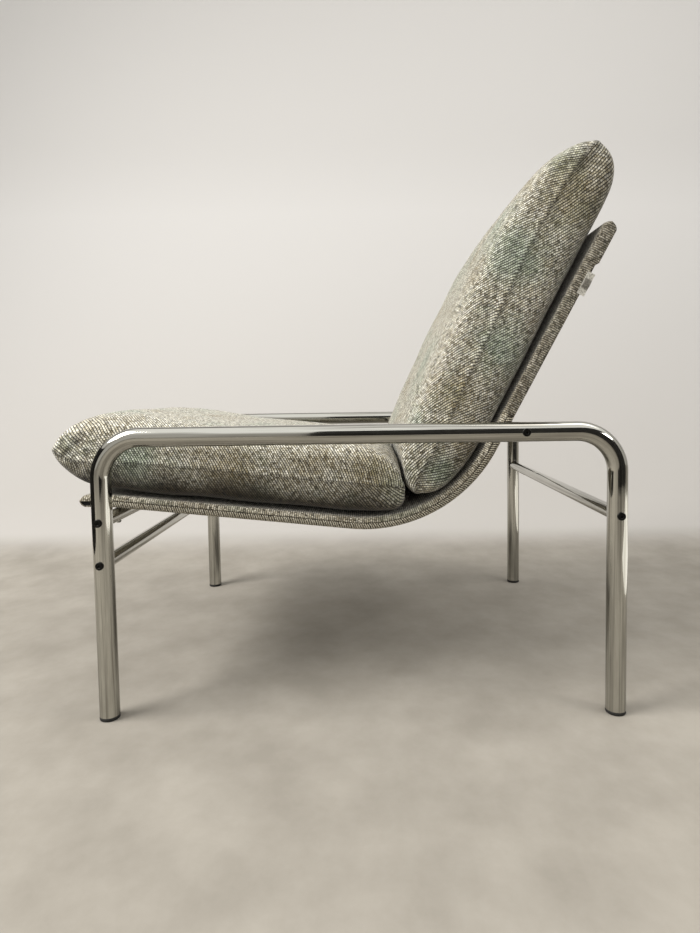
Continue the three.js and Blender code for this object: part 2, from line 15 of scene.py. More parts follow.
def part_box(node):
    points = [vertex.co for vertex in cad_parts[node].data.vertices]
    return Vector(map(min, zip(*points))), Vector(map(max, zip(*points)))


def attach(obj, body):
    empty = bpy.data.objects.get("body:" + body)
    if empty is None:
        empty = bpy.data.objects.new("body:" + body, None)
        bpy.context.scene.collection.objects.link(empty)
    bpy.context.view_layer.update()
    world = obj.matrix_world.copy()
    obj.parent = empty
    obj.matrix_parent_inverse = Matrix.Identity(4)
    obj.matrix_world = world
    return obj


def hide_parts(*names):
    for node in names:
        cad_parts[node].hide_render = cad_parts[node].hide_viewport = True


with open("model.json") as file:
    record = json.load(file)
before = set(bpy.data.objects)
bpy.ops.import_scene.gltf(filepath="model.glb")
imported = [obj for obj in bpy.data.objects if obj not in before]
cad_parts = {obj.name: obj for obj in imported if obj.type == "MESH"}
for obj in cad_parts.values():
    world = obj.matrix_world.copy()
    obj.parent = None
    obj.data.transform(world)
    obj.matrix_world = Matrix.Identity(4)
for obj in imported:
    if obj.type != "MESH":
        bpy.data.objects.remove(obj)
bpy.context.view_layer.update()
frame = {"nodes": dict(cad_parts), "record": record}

log = logging.getLogger("chair")

MM = 0.001
CLOTH_MAP = "cloth"
DARKENING = "darkening"
FRAME_BODY = "frame"
SEAT_BODY = "seat_pad"
BACK_BODY = "back_pad"
TURNED_SIDES = 48
QUARTER = math.pi / 2
ACROSS = np.array([1.0, 0.0, 0.0])
UPRIGHT = np.array([0.0, 0.0, 1.0])

Point = tuple[float, float, float]
Drawn = list[tuple[float, float]]
Face = tuple[int, ...]
Piece = bpy.types.Object
Socket = bpy.types.NodeSocket
Tree = bpy.types.NodeTree


class Hand(Enum):
    """The two sides of the chair, as the sign of X."""

    LEFT = 1
    RIGHT = -1

    @property
    def word(self) -> str:
        """The side's name as the solids spell it."""
        return self.name.lower()


class Meets(Enum):
    """What a cross tube's end is cut to fit."""

    LEG = "leg"
    ARM = "arm"


class Slot(Enum):
    """Finishes that the record names."""

    CHROME = "chrome"
    BLACK_STEEL = "black_steel"
    RUBBER = "rubber"
    ZINC_STEEL = "zinc_steel"
    SLING_CLOTH = "sling_cloth"
    PAD = "pad"
    TWEED = "tweed"
    TAB = "tab"


# Colours and nodes


def linear(code: str) -> tuple[float, float, float, float]:
    """Turns an sRGB hex colour into linear light, with an alpha of one."""
    parts = [int(code[i : i + 2], 16) / 255 for i in (1, 3, 5)]
    return (*[p / 12.92 if p <= 0.04045 else ((p + 0.055) / 1.055) ** 2.4 for p in parts], 1.0)


def add_node(tree: Tree, kind: str, inputs: dict, output: int | str = 0, **settings) -> Socket | None:
    """Adds a shader node with its settings, its input values and its links.

    Args:
        tree: The node tree that takes the node.
        kind: The node's type name, without the leading "ShaderNode".
        inputs: Socket name or number to a value, or to an output socket to link.
        output: Name or number of the output that is wanted.
        **settings: Properties of the node.

    Returns:
        That output, or None from a node that has none.
    """
    node = tree.nodes.new(f"ShaderNode{kind}")
    for name, value in settings.items():
        setattr(node, name, value)
    for key, value in inputs.items():
        if isinstance(value, Socket):
            tree.links.new(value, node.inputs[key])
        else:
            node.inputs[key].default_value = value
    return node.outputs[output] if len(node.outputs) else None


# Finishes


@dataclass(frozen=True)
class Finish:
    """A finish, whose surface each kind of finish draws in its own way."""

    name: str

    def surface(self, tree: Tree) -> Socket:
        """Draws the surface in a material's tree and returns its shader."""
        raise NotImplementedError

    def build(self) -> bpy.types.Material:
        """Makes the material.

        Returns:
            The material, with its surface joined to its output.
        """
        material = bpy.data.materials.new(self.name)
        material.use_nodes = True
        material.node_tree.nodes.clear()
        add_node(material.node_tree, "OutputMaterial", {"Surface": self.surface(material.node_tree)})
        return material


@dataclass(frozen=True)
class ChromedSteel(Finish):
    """Drawn steel tube, polished and chrome plated.

    To the eye it is a hard mirror with darker lengthwise wiping marks and a few dull pits. The
    marks are read from the cloth map, which runs along and round each tube.
    """

    name: str = "chromed_steel"
    colour: str = "#BEBDB6"
    streak: str = "#726E67"
    dull: str = "#5E5A52"
    smooth: float = 0.035
    worn: float = 0.13
    streak_length: float = 420.0
    streak_width: float = 7.0
    wipe_size: float = 45.0
    speck_size: float = 9.0

    def surface(self, tree: Tree) -> Socket:
        """Draws the chrome in a material's tree and returns its shader."""
        place = add_node(tree, "TexCoord", {}, "Object")
        tube = add_node(tree, "UVMap", {}, uv_map=CLOTH_MAP)
        stretch = (1 / (self.streak_length * MM), 1 / (self.streak_width * MM), 1.0)
        drawn = add_node(tree, "VectorMath", {0: tube, 1: stretch}, operation="MULTIPLY")
        streaks = add_node(tree, "TexNoise", {"Vector": drawn, "Scale": 1.0, "Detail": 3.0, "Roughness": 0.6})
        wipes = add_node(tree, "TexNoise", {
            "Vector": place, "Scale": 1 / (self.wipe_size * MM), "Detail": 6.0, "Roughness": 0.65})
        rough = add_node(tree, "MapRange", {"Value": wipes, 1: 0.35, 2: 0.75, 3: self.smooth, 4: self.worn})
        specks = add_node(tree, "TexVoronoi", {
            "Vector": place, "Scale": 1 / (self.speck_size * MM)}, "Distance")
        pits = add_node(tree, "MapRange", {"Value": specks, 1: 0.05, 2: 0.09, 3: 1.0, 4: 0.0})
        few = add_node(tree, "MapRange", {"Value": wipes, 1: 0.56, 2: 0.62})
        spotted = add_node(tree, "Math", {0: pits, 1: few}, operation="MULTIPLY")
        lined = add_node(tree, "MapRange", {"Value": streaks, 1: 0.45, 2: 0.72})
        tone = add_node(tree, "Mix", {0: lined, 6: linear(self.colour), 7: linear(self.streak)}, 2,
                        data_type="RGBA")
        marked = add_node(tree, "Mix", {0: spotted, 6: tone, 7: linear(self.dull)}, 2, data_type="RGBA")
        ripple = add_node(tree, "Bump", {"Height": streaks, "Strength": 0.1, "Distance": 0.25 * MM})
        return add_node(tree, "BsdfPrincipled", {
            "Base Color": marked, "Metallic": 1.0, "Roughness": rough, "Normal": ripple})


@dataclass(frozen=True)
class PlatedSteel(Finish):
    """Blackened or zinc plated steel: to the eye a thin dull skin that scatters what it reflects."""

    colour: str
    worn: str
    roughness: float
    grain_size: float = 3.0

    def surface(self, tree: Tree) -> Socket:
        """Draws the plating in a material's tree and returns its shader."""
        place = add_node(tree, "TexCoord", {}, "Object")
        grain = add_node(tree, "TexNoise", {
            "Vector": place, "Scale": 1 / (self.grain_size * MM), "Detail": 5.0})
        tone = add_node(tree, "Mix", {0: grain, 6: linear(self.colour), 7: linear(self.worn)}, 2,
                        data_type="RGBA")
        rough = add_node(tree, "MapRange", {"Value": grain, 3: self.roughness, 4: self.roughness + 0.2})
        bump = add_node(tree, "Bump", {"Height": grain, "Strength": 0.2, "Distance": 0.1 * MM})
        return add_node(tree, "BsdfPrincipled", {
            "Base Color": tone, "Metallic": 0.9, "Roughness": rough, "Normal": bump})


@dataclass(frozen=True)
class MouldedRubber(Finish):
    """Moulded black rubber: to the eye matt, with a fine pebble and grey dust in its hollows."""

    name: str = "moulded_rubber"
    colour: str = "#171615"
    dust: str = "#4A4740"
    pebble_size: float = 1.2

    def surface(self, tree: Tree) -> Socket:
        """Draws the rubber in a material's tree and returns its shader."""
        place = add_node(tree, "TexCoord", {}, "Object")
        pebble = add_node(tree, "TexNoise", {
            "Vector": place, "Scale": 1 / (self.pebble_size * MM), "Detail": 4.0})
        dusty = add_node(tree, "MapRange", {"Value": pebble, 1: 0.55, 2: 0.8, 3: 0.0, 4: 0.5})
        tone = add_node(tree, "Mix", {0: dusty, 6: linear(self.colour), 7: linear(self.dust)}, 2,
                        data_type="RGBA")
        bump = add_node(tree, "Bump", {"Height": pebble, "Strength": 0.4, "Distance": 0.2 * MM})
        return add_node(tree, "BsdfPrincipled", {"Base Color": tone, "Roughness": 0.72, "Normal": bump})


@dataclass(frozen=True)
class WovenCloth(Finish):
    """Woven wool cloth: to the eye ribs of thick and thin yarn in mixed tones, with slow drifts of colour and
    painted shade in the hollows between the yarns.

    The yarn is read from the cloth map, whose unit is a metre along the cut cloth. A real yarn of
    about 2 mm is too fine to show here, so rib and yarn are drawn coarser, as their sizes say.
    """

    rib: float
    yarn: float
    tones: tuple[tuple[float, str], ...]
    green: str
    ochre: str
    drift: float
    shade_floor: float
    relief: float
    wander: float
    slub_floor: float = 0.5
    # Dark tone that the darkening attribute pulls the colour toward; that darkening is mostly painted shade.
    darken: str = "#4A4133"
    green_spots: tuple[Point, ...] = ()
    ochre_spots: tuple[Point, ...] = ()
    wander_size: float = 28.0
    fuzz_size: float = 0.9
    drift_strength: float = 0.36
    spot_strength: float = 0.46

    def surface(self, tree: Tree) -> Socket:
        """Draws the cloth in a material's tree and returns its shader."""
        cloth = add_node(tree, "UVMap", {}, uv_map=CLOTH_MAP)
        place = add_node(tree, "TexCoord", {}, "Object")
        stray = add_node(tree, "TexNoise", {
            "Vector": place, "Scale": 1 / (self.wander_size * MM), "Detail": 3.0}, "Color")
        centred = add_node(tree, "VectorMath", {0: stray, 1: (0.5, 0.5, 0.5)}, operation="SUBTRACT")
        bent = add_node(tree, "VectorMath", {0: centred, 1: (self.wander * MM,) * 3, 2: cloth},
                        operation="MULTIPLY_ADD")
        fuzz = add_node(tree, "TexNoise", {
            "Vector": place, "Scale": 1 / (self.fuzz_size * MM), "Detail": 2.0})
        sums = {"x": add_node(tree, "SeparateXYZ", {0: bent}, 0), "fuzz": fuzz}
        sums["y"] = sums["x"].node.outputs[1]
        for result, operation, *terms in (
            ("along", "DIVIDE", "x", self.rib * MM),
            ("row", "FLOOR", "along"),
            ("odd", "FLOORED_MODULO", "row", 2.0),
            ("plain", "DIVIDE", "y", self.yarn * MM),
            ("across", "MULTIPLY_ADD", "odd", 0.5, "plain"),
            ("column", "FLOOR", "across"),
            ("in_rib", "FRACT", "along"),
            ("rib_turn", "MULTIPLY", "in_rib", math.pi),
            ("rib_rise", "SINE", "rib_turn"),
            ("in_yarn", "FRACT", "across"),
            ("yarn_turn", "MULTIPLY", "in_yarn", math.pi),
            ("yarn_rise", "SINE", "yarn_turn"),
            ("knuckle", "MULTIPLY_ADD", "yarn_rise", 0.6, 0.4),
            ("rise", "MULTIPLY", "rib_rise", "knuckle"),
            ("rough_rise", "MULTIPLY_ADD", "fuzz", 0.35, "rise"),
            ("slub_x", "MULTIPLY", "along", 0.55),
            ("slub_y", "MULTIPLY", "across", 0.4),
        ):
            inputs = {number: sums.get(term, term) for number, term in enumerate(terms)}
            sums[result] = add_node(tree, "Math", inputs, operation=operation)
        pair = add_node(tree, "CombineXYZ", {0: sums["row"], 1: sums["column"]})
        lot = add_node(tree, "TexWhiteNoise", {"Vector": pair}, "Value", noise_dimensions="2D")
        yarns = add_node(tree, "ValToRGB", {0: lot})
        stops = yarns.node.color_ramp.elements
        while len(stops) < len(self.tones):
            stops.new(0.5)
        for stop, (position, code) in zip(stops, self.tones):
            stop.position = position
            stop.color = linear(code)
        slow = add_node(tree, "TexNoise", {
            "Vector": place, "Scale": 1 / (self.drift * MM), "Detail": 4.0, "Roughness": 0.6})
        tinted = yarns
        for colour, first, last, spots in (
            (self.green, 0.5, 0.68, self.green_spots),
            (self.ochre, 0.46, 0.32, self.ochre_spots),
        ):
            ends = {1: first, 2: last, 3: 0.0, 4: self.drift_strength}
            drifted = add_node(tree, "MapRange", {"Value": slow, **ends})
            share = self.faded(tree, drifted, slow, spots)
            tinted = add_node(tree, "Mix", {0: share, 6: tinted, 7: linear(colour)}, 2, data_type="RGBA")
        slubs = add_node(tree, "CombineXYZ", {0: sums["slub_x"], 1: sums["slub_y"]})
        clumps = add_node(tree, "TexNoise", {"Vector": slubs, "Scale": 1.0, "Detail": 2.0, "Roughness": 0.6},
                          noise_dimensions="2D")
        worn = add_node(tree, "MapRange", {"Value": clumps, 1: 0.33, 2: 0.62, 3: self.slub_floor, 4: 1.0})
        # Painted shade: the colour is darkened in the hollows between the yarns, and slub clumps add random
        # tone.
        hollow = add_node(tree, "MapRange", {
            "Value": sums["rise"], 1: 0.2, 2: 0.7, 3: self.shade_floor, 4: 1.0})
        shade = add_node(tree, "Math", {0: hollow, 1: worn}, operation="MULTIPLY")
        shaded = add_node(tree, "Mix", {0: 1.0, 6: tinted, 7: shade}, 2,
                          data_type="RGBA", blend_type="MULTIPLY")
        # Painted shade for the most part: the darkening attribute pulls the colour toward a dark tone.
        darkening = add_node(tree, "Attribute", {}, "Fac", attribute_name=DARKENING)
        darkened = add_node(tree, "Mix", {0: darkening, 6: shaded, 7: linear(self.darken)}, 2,
                          data_type="RGBA", blend_type="MULTIPLY")
        bump = add_node(tree, "Bump", {
            "Height": sums["rough_rise"], "Strength": 0.9, "Distance": self.relief * MM})
        return add_node(tree, "BsdfPrincipled", {
            "Base Color": darkened, "Roughness": 0.92, "Specular IOR Level": 0.2, "Sheen Weight": 0.25,
            "Sheen Roughness": 0.5, "Normal": bump})

    def faded(self, tree: Tree, tint: Socket, slow: Socket, spots: tuple[Point, ...]) -> Socket:
        """Adds soft patches to a tint.

        Args:
            tree: The material's tree.
            tint: Strength of the tint.
            slow: Slow noise that makes the patches' edges ragged.
            spots: Y, Z and radius of each patch in millimetres.

        Returns:
            Strength of the tint with its patches.
        """
        place = add_node(tree, "TexCoord", {}, "Object")
        flat = add_node(tree, "VectorMath", {0: place, 1: (0.0, 1.0, 1.0)}, operation="MULTIPLY")
        for y, z, radius in spots:
            far = add_node(tree, "VectorMath", {0: flat, 1: (0.0, y * MM, z * MM)}, "Value",
                           operation="DISTANCE")
            ragged = add_node(tree, "Math", {0: slow, 1: -1.2 * radius * MM, 2: far},
                              operation="MULTIPLY_ADD")
            ends = {1: 0.4 * radius * MM, 2: -0.5 * radius * MM, 3: 0.0, 4: self.spot_strength}
            patch = add_node(tree, "MapRange", {"Value": ragged, **ends}, interpolation_type="SMOOTHSTEP")
            tint = add_node(tree, "Math", {0: tint, 1: patch}, operation="MAXIMUM")
        return tint


@dataclass(frozen=True)
class StudioPaint(Finish):
    """Matt studio paint: to the eye a pale warm grey floor that fades into a paler backdrop, whose paint
    grows paler with height: painted light that evens out the light on the sweep.
    """

    name: str = "studio_paint"
    floor: str = "#948F86"
    mottle: str = "#847F76"
    backdrop_low: str = "#AAA7A3"
    backdrop_high: str = "#CDCCCB"
    fade_height: float = 0.03
    grade_height: float = 1.5

    def surface(self, tree: Tree) -> Socket:
        """Draws the paint in a material's tree and returns its shader."""
        place = add_node(tree, "TexCoord", {}, "Object")
        cloud = add_node(tree, "TexNoise", {"Vector": place, "Scale": 7.0, "Detail": 7.0, "Roughness": 0.62})
        patches = add_node(tree, "MapRange", {"Value": cloud, 1: 0.35, 2: 0.65})
        height = add_node(tree, "SeparateXYZ", {0: place}, 2)
        risen = add_node(tree, "MapRange", {"Value": height, 1: 0.0, 2: self.fade_height},
                         interpolation_type="SMOOTHSTEP")
        # Painted light: the backdrop grows paler with height, to even out the light that falls on the sweep.
        graded = add_node(tree, "MapRange", {"Value": height, 1: 0.1, 2: self.grade_height})
        ground = add_node(tree, "Mix", {0: patches, 6: linear(self.floor), 7: linear(self.mottle)}, 2,
                          data_type="RGBA")
        wall = add_node(tree, "Mix", {
            0: graded, 6: linear(self.backdrop_low), 7: linear(self.backdrop_high)}, 2, data_type="RGBA")
        tone = add_node(tree, "Mix", {0: risen, 6: ground, 7: wall}, 2, data_type="RGBA")
        return add_node(tree, "BsdfPrincipled", {"Base Color": tone, "Roughness": 0.85})


@dataclass(frozen=True)
class GlowingCard(Finish):
    """Glowing white card that is no lamp: an even bright patch, which a polished tube shows as a white line,
    a painted highlight.
    """

    name: str = "glowing_reflection_card"
    colour: str = "#FFFBF2"
    strength: float = 1.6

    def surface(self, tree: Tree) -> Socket:
        """Draws the card in a material's tree and returns its shader."""
        return add_node(tree, "Emission", {"Color": linear(self.colour), "Strength": self.strength})


TWEED_TONES = ((0.0, "#87806B"), (0.12, "#B5AE98"), (0.4, "#D9D4BF"), (0.7, "#EDE9D8"), (1.0, "#F6F3E6"))
SLING_TONES = ((0.0, "#5E5747"), (0.15, "#9B927E"), (0.45, "#BFB7A3"), (0.8, "#DAD3C1"), (1.0, "#E6E0D0"))
BINDING_TONES = ((0.0, "#C9C3B2"), (0.5, "#E0DBCC"), (1.0, "#EEEADF"))
TAPE_TONES = ((0.0, "#B1AEA4"), (0.5, "#C6C3B9"), (1.0, "#D3D0C7"))


class Finishes:
    """Every material of the chair, made once."""

    def __init__(self) -> None:
        """Builds the materials."""
        self.by_slot = {
            Slot.CHROME: ChromedSteel().build(),
            # Oil-blackened bolts: nearly black, with a small soft highlight on the rim.
            Slot.BLACK_STEEL: PlatedSteel("blackened_steel", "#121212", "#2B2A28", 0.3).build(),
            Slot.RUBBER: MouldedRubber().build(),
            # Plated screws and rails inside: a cool even grey.
            Slot.ZINC_STEEL: PlatedSteel("zinc_plated_steel", "#8E8E8A", "#A8A7A1", 0.35).build(),
            # The sling's cover: a tighter, darker weave of the same yarns.
            Slot.SLING_CLOTH: WovenCloth(
                "sling_canvas", 3.2, 2.6, SLING_TONES, "#98A08C", "#9A8F74", 70, 0.16, 0.6, 2).build(),
            # Pressed wadding: pale and soft, with hardly any pattern.
            Slot.PAD: WovenCloth(
                "wadding", 4, 4, SLING_TONES, "#B9B4A0", "#A89F88", 90, 0.7, 0.4, 3).build(),
            # The cushions' twill: painted shade in the hollows between pale ribs, faded to green and ochre in
            # patches.
            Slot.TWEED: WovenCloth(
                "ribbed_tweed", 3.6, 3.6, TWEED_TONES, "#8DAE99", "#A08D60", 80, 0.06, 0.9, 5, 0.45,
                green_spots=((283, 662, 75), (254, 524, 65), (-292, 372, 50), (164, 347, 40)),
                ochre_spots=((363, 747, 75), (187, 459, 55), (-150, 352, 60), (60, 350, 60))).build(),
            # The blank tape: smooth, pale and close woven.
            Slot.TAB: WovenCloth(
                "woven_tape", 1.2, 1.2, TAPE_TONES, "#CFCDC2", "#C6C1B3", 40, 0.75, 0.15, 0.3).build(),
        }
        # Overcast yarn and bound edge: pale against the darker weave behind them, which also carries painted
        # shade.
        self.thread = WovenCloth(
            "stitching_yarn", 0.9, 0.9, SLING_TONES, "#A9A896", "#A0967C", 50, 0.6, 0.15, 0.3, 0.7).build()
        self.binding = WovenCloth(
            "edge_binding", 1.5, 1.5, BINDING_TONES, "#CDCDBC", "#C6BDA3", 60, 0.75, 0.15, 1, 0.8).build()

    def dress(self, piece: Piece, slot: Slot) -> None:
        """Gives a piece the finish of one slot."""
        piece.data.materials.clear()
        piece.data.materials.append(self.by_slot[slot])

    def hand_over(self, piece: Piece, body: str, slot: Slot, *nodes: str) -> None:
        """Dresses a piece, sets it on its body and lets it stand for solids.

        Args:
            piece: The object.
            body: The body that it rides on.
            slot: Its finish.
            *nodes: Names of the solids that it stands for.
        """
        self.dress(piece, slot)
        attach(piece, body)
        if nodes:
            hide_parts(*nodes)
        log.info("%s: %d faces", piece.name, len(piece.data.polygons))


# Lines and meshes. Sizes are in millimetres until a mesh is made.


def unit(vectors: np.ndarray) -> np.ndarray:
    """Vectors of length one in the same directions."""
    return vectors / np.linalg.norm(vectors, axis=-1, keepdims=True)


def cross(first: np.ndarray, second: np.ndarray) -> float:
    """Cross product of two vectors of the side view."""
    return float(first[0] * second[1] - first[1] * second[0])


def rotated(way: np.ndarray, angle: float) -> np.ndarray:
    """A vector of the side view, turned by an angle in radians."""
    cosine, sine = math.cos(angle), math.sin(angle)
    return np.array([way[0] * cosine - way[1] * sine, way[0] * sine + way[1] * cosine])


def travelled(points: np.ndarray) -> np.ndarray:
    """Distance along a line at each of its points."""
    return np.concatenate([[0.0], np.cumsum(np.linalg.norm(np.diff(points, axis=0), axis=1))])


def read_line(at: float | np.ndarray, run: np.ndarray, values: np.ndarray) -> np.ndarray:
    """Pairs of values, read between a line's points at distances along it."""
    return np.stack([np.interp(at, run, values[:, k]) for k in (0, 1)], axis=-1)


def smooth_step(value: float) -> float:
    """Smooth rise from 0 to 1 as the value goes from 0 to 1."""
    held = min(max(value, 0.0), 1.0)
    return held * held * (3 - 2 * held)


def make_piece(name: str, points: np.ndarray | list[Point], faces: list[Face]) -> Piece:
    """Makes a smooth mesh object.

    Args:
        name: The object's name.
        points: Places in millimetres, in the chair's frame.
        faces: Corner numbers of each face.

    Returns:
        The new object, linked to the scene.
    """
    mesh = bpy.data.meshes.new(name)
    mesh.from_pydata((np.asarray(points, dtype=float) * MM).tolist(), [], faces)
    mesh.validate()
    mesh.shade_smooth()
    piece = bpy.data.objects.new(name, mesh)
    bpy.context.collection.objects.link(piece)
    return piece


def harden(piece: Piece, degrees: float) -> None:
    """Keeps edges crisp where faces meet at more than an angle."""
    piece.data.set_sharp_from_angle(angle=math.radians(degrees))


def skin(rings: list[np.ndarray], closed_ends: bool = True) -> tuple[np.ndarray, list[Face]]:
    """Joins equal closed rings into one skin.

    Args:
        rings: Rings of points, each with the same count.
        closed_ends: Whether the first and last rings get a face of their own.

    Returns:
        Points and faces.
    """
    count = len(rings[0])
    last = (len(rings) - 1) * count
    faces = []
    for base in range(0, last, count):
        for i in range(count):
            j = (i + 1) % count
            faces.append((base + i, base + j, base + count + j, base + count + i))
    if closed_ends:
        faces.append(tuple(reversed(range(count))))
        faces.append(tuple(range(last, last + count)))
    return np.vstack(rings), faces


def circle(centre: np.ndarray, first: np.ndarray, second: np.ndarray, radius: float | np.ndarray,
           sides: int) -> np.ndarray:
    """Points of a circle.

    Args:
        centre: The circle's middle.
        first: Unit vector in its plane.
        second: Unit vector in its plane, at right angles to the first.
        radius: Radius, or one radius for each point.
        sides: Number of points.

    Returns:
        The points.
    """
    angles = np.arange(sides) * 2 * math.pi / sides
    reach = radius * np.ones(sides)
    return centre + np.outer(reach * np.cos(angles), first) + np.outer(reach * np.sin(angles), second)


def turned_piece(name: str, profile: Drawn, base: np.ndarray, axis: np.ndarray, crisp: float,
                 six_sided: range = range(0)) -> Piece:
    """Makes a turned piece.

    Args:
        name: The object's name.
        profile: Radius and distance along the axis of each ring.
        base: Where the axis starts.
        axis: Unit vector along the axis.
        crisp: Angle in degrees above which an edge stays crisp.
        six_sided: Numbers of the rings that are hexagons.

    Returns:
        The new object.
    """
    first = unit(np.cross(axis, UPRIGHT if abs(axis[2]) < 0.5 else ACROSS))
    second = np.cross(axis, first)
    angles = np.arange(TURNED_SIDES) * 2 * math.pi / TURNED_SIDES
    wedge = math.pi / 3
    hexagon = math.cos(wedge / 2) / np.cos(np.mod(angles, wedge) - wedge / 2)
    rings = [
        circle(base + axis * distance, first, second, radius * (hexagon if number in six_sided else 1.0),
               TURNED_SIDES)
        for number, (radius, distance) in enumerate(profile)
    ]
    piece = make_piece(name, *skin(rings))
    harden(piece, crisp)
    return piece


def swept_piece(name: str, rings: list[np.ndarray], closed_ends: bool = True) -> Piece:
    """Makes a piece from closed rings, with a cloth map that runs along it and round each ring.

    Args:
        name: The object's name.
        rings: Rings of points, each with the same count.
        closed_ends: Whether the first and last rings get a face of their own.

    Returns:
        The new object.
    """
    piece = make_piece(name, *skin(rings, closed_ends))
    count = len(rings[0])
    along = travelled(np.array([ring.mean(axis=0) for ring in rings]))
    middle = rings[len(rings) // 2]
    around = travelled(np.vstack([middle, middle[:1]]))
    layer = piece.data.uv_layers.new(name=CLOTH_MAP)
    for polygon in piece.data.polygons:
        corners = [piece.data.loops[k].vertex_index for k in polygon.loop_indices]
        columns = [corner % count for corner in corners]
        wraps = len(columns) == 4 and max(columns) - min(columns) > count // 2
        for k, corner, column in zip(polygon.loop_indices, corners, columns):
            place = column + count if wraps and column < count // 2 else column
            layer.data[k].uv = (along[corner // count] * MM, around[min(place, count)] * MM)
    return piece


def lay_plain_map(piece: Piece) -> None:
    """Lays the cloth map on a small piece straight from its places in the side view."""
    layer = piece.data.uv_layers.new(name=CLOTH_MAP)
    for loop in piece.data.loops:
        place = piece.data.vertices[loop.vertex_index].co
        layer.data[loop.index].uv = (place.y + 0.3 * place.z, place.z - 0.3 * place.y + place.x)


def lay_darkening(piece: Piece, values: np.ndarray | list[float]) -> None:
    """Keeps how much the cloth is darkened at each point, from 0 to 1: painted shade, for the most part."""
    piece.data.attributes.new(DARKENING, "FLOAT", "POINT").data.foreach_set("value", values)


def rounded_line(corners: list[np.ndarray], radius: float, arc_step: float,
                 straight_step: float) -> np.ndarray:
    """Points along a line in the side view whose corners are rounded.

    Args:
        corners: Corners of the line as (y, z).
        radius: Radius of every rounded corner.
        arc_step: Spacing of points on the arcs.
        straight_step: Spacing of points on the straight runs.

    Returns:
        The points, in order.
    """
    runs = [[corners[0]]]
    for before, corner, after in zip(corners, corners[1:], corners[2:]):
        inward, outward = unit(corner - before), unit(after - corner)
        turn = math.atan2(cross(inward, outward), float(inward @ outward))
        start = corner - inward * radius * math.tan(abs(turn) / 2)
        spoke = math.copysign(radius, turn) * np.array([inward[1], -inward[0]])
        steps = max(2, round(abs(turn) * radius / arc_step))
        runs.append([start - spoke + rotated(spoke, angle) for angle in np.linspace(0, turn, steps + 1)])
    runs.append([corners[-1]])
    points = []
    for run, following in zip(runs, runs[1:]):
        points.extend(run)
        gap = following[0] - run[-1]
        steps = max(1, round(float(np.linalg.norm(gap)) / straight_step))
        points.extend(run[-1] + gap * k / steps for k in range(1, steps))
    return np.array([*points, *runs[-1]])


# The chair's own lines


@dataclass(frozen=True)
class Layout:
    """Main sizes of the chair in millimetres, and where its centre line lies."""

    frame_x: float = 300.0
    leg_y: float = 365.0
    arm_height: float = 420.0
    tube_radius: float = 14.0
    bend_radius: float = 58.0
    glide_height: float = 5.0
    cross_radius: float = 10.0
    seat_tube_z: float = 287.0
    stretcher_z: float = 226.5
    support_inset: float = 131.5

    @property
    def middle_y(self) -> float:
        """Y of the line midway between front and rear legs, read from the solids."""
        return (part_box("glide_front_left")[0][1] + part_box("glide_rear_left")[1][1]) / 2 / MM

    @property
    def arm_z(self) -> float:
        """Height of the armrest's axis."""
        return self.arm_height - self.tube_radius

    def cross_tubes(self) -> dict[str, tuple[float, float, Meets]]:
        """Place of each cross tube.

        Returns:
            The tube's place name to its Y, its Z and what it meets.
        """
        front, rear = self.middle_y - self.leg_y, self.middle_y + self.leg_y
        return {
            "front_upper": (front, self.seat_tube_z, Meets.LEG),
            "front_lower": (front, self.stretcher_z, Meets.LEG),
            "rear": (rear, self.seat_tube_z, Meets.LEG),
            "back_support": (rear - self.support_inset, self.arm_z, Meets.ARM),
        }


LAYOUT = Layout()


@dataclass
class SlingLine:
    """The sling's centre line in the side view, laid on the two tubes that carry it."""

    thickness: float = 18.0
    seat_slope: float = 6.0
    back_slope: float = 61.7
    outer_bend: float = 223.0
    nose_reach: float = 38.0
    back_reach: float = 371.0
    nose_droop: float = 5.0
    nose_ahead: float = 10.0
    gap: float = 0.3

    def __post_init__(self) -> None:
        """Works out directions, tangent points and ends."""
        seat, back = math.radians(self.seat_slope), math.radians(self.back_slope)
        nose = seat - math.radians(self.nose_droop)
        self.half = self.thickness / 2
        self.turn = seat + back
        self.seat_forward = np.array([-math.cos(seat), math.sin(seat)])
        self.seat_up = np.array([math.sin(seat), math.cos(seat)])
        self.back_upward = np.array([math.cos(back), math.sin(back)])
        self.back_forward = np.array([-math.sin(back), math.cos(back)])
        self.nose_forward = np.array([-math.cos(nose), math.sin(nose)])
        stand = LAYOUT.cross_radius + self.gap + self.half
        tubes = LAYOUT.cross_tubes()
        on_seat = np.array(tubes["front_upper"][:2]) + self.seat_up * stand
        on_back = np.array(tubes["back_support"][:2]) + self.back_forward * stand
        rearward = cross(on_back - on_seat, self.back_upward) / cross(self.seat_forward, self.back_upward)
        self.corner = on_seat + self.seat_forward * rearward
        self.radius = self.outer_bend - self.half
        self.rest_radius = self.radius - self.half
        setback = self.radius * math.tan(self.turn / 2)
        seat_tangent = self.corner + self.seat_forward * setback
        self.back_tangent = self.corner + self.back_upward * setback
        self.nose_corner = on_seat + self.seat_forward * self.nose_ahead
        self.front_end = self.nose_corner + self.nose_forward * self.nose_reach
        self.top_end = self.back_tangent + self.back_upward * (self.back_reach - self.half)
        self.seat_origin = seat_tangent + self.seat_up * self.half
        self.back_origin = self.back_tangent + self.back_forward * self.half
        self.bend_centre = seat_tangent + self.seat_up * self.radius

    def stations(self, step: float, past: float) -> np.ndarray:
        """Points of the centre line from front to top.

        Args:
            step: Spacing of the points.
            past: How far the line runs past the centres of its end rails.

        Returns:
            The points as (y, z).
        """
        front = self.front_end + self.nose_forward * past
        top = self.top_end + self.back_upward * past
        return rounded_line([front, self.nose_corner, self.corner, top], self.radius, step, step)

    def rest_height(self, distance: np.ndarray) -> np.ndarray:
        """Height of the rest surface above a cushion's base line, which rises inside the bend."""
        within = np.minimum(distance, 0.0)
        return self.gap + self.rest_radius - np.sqrt(self.rest_radius**2 - within**2)


# Steel frame


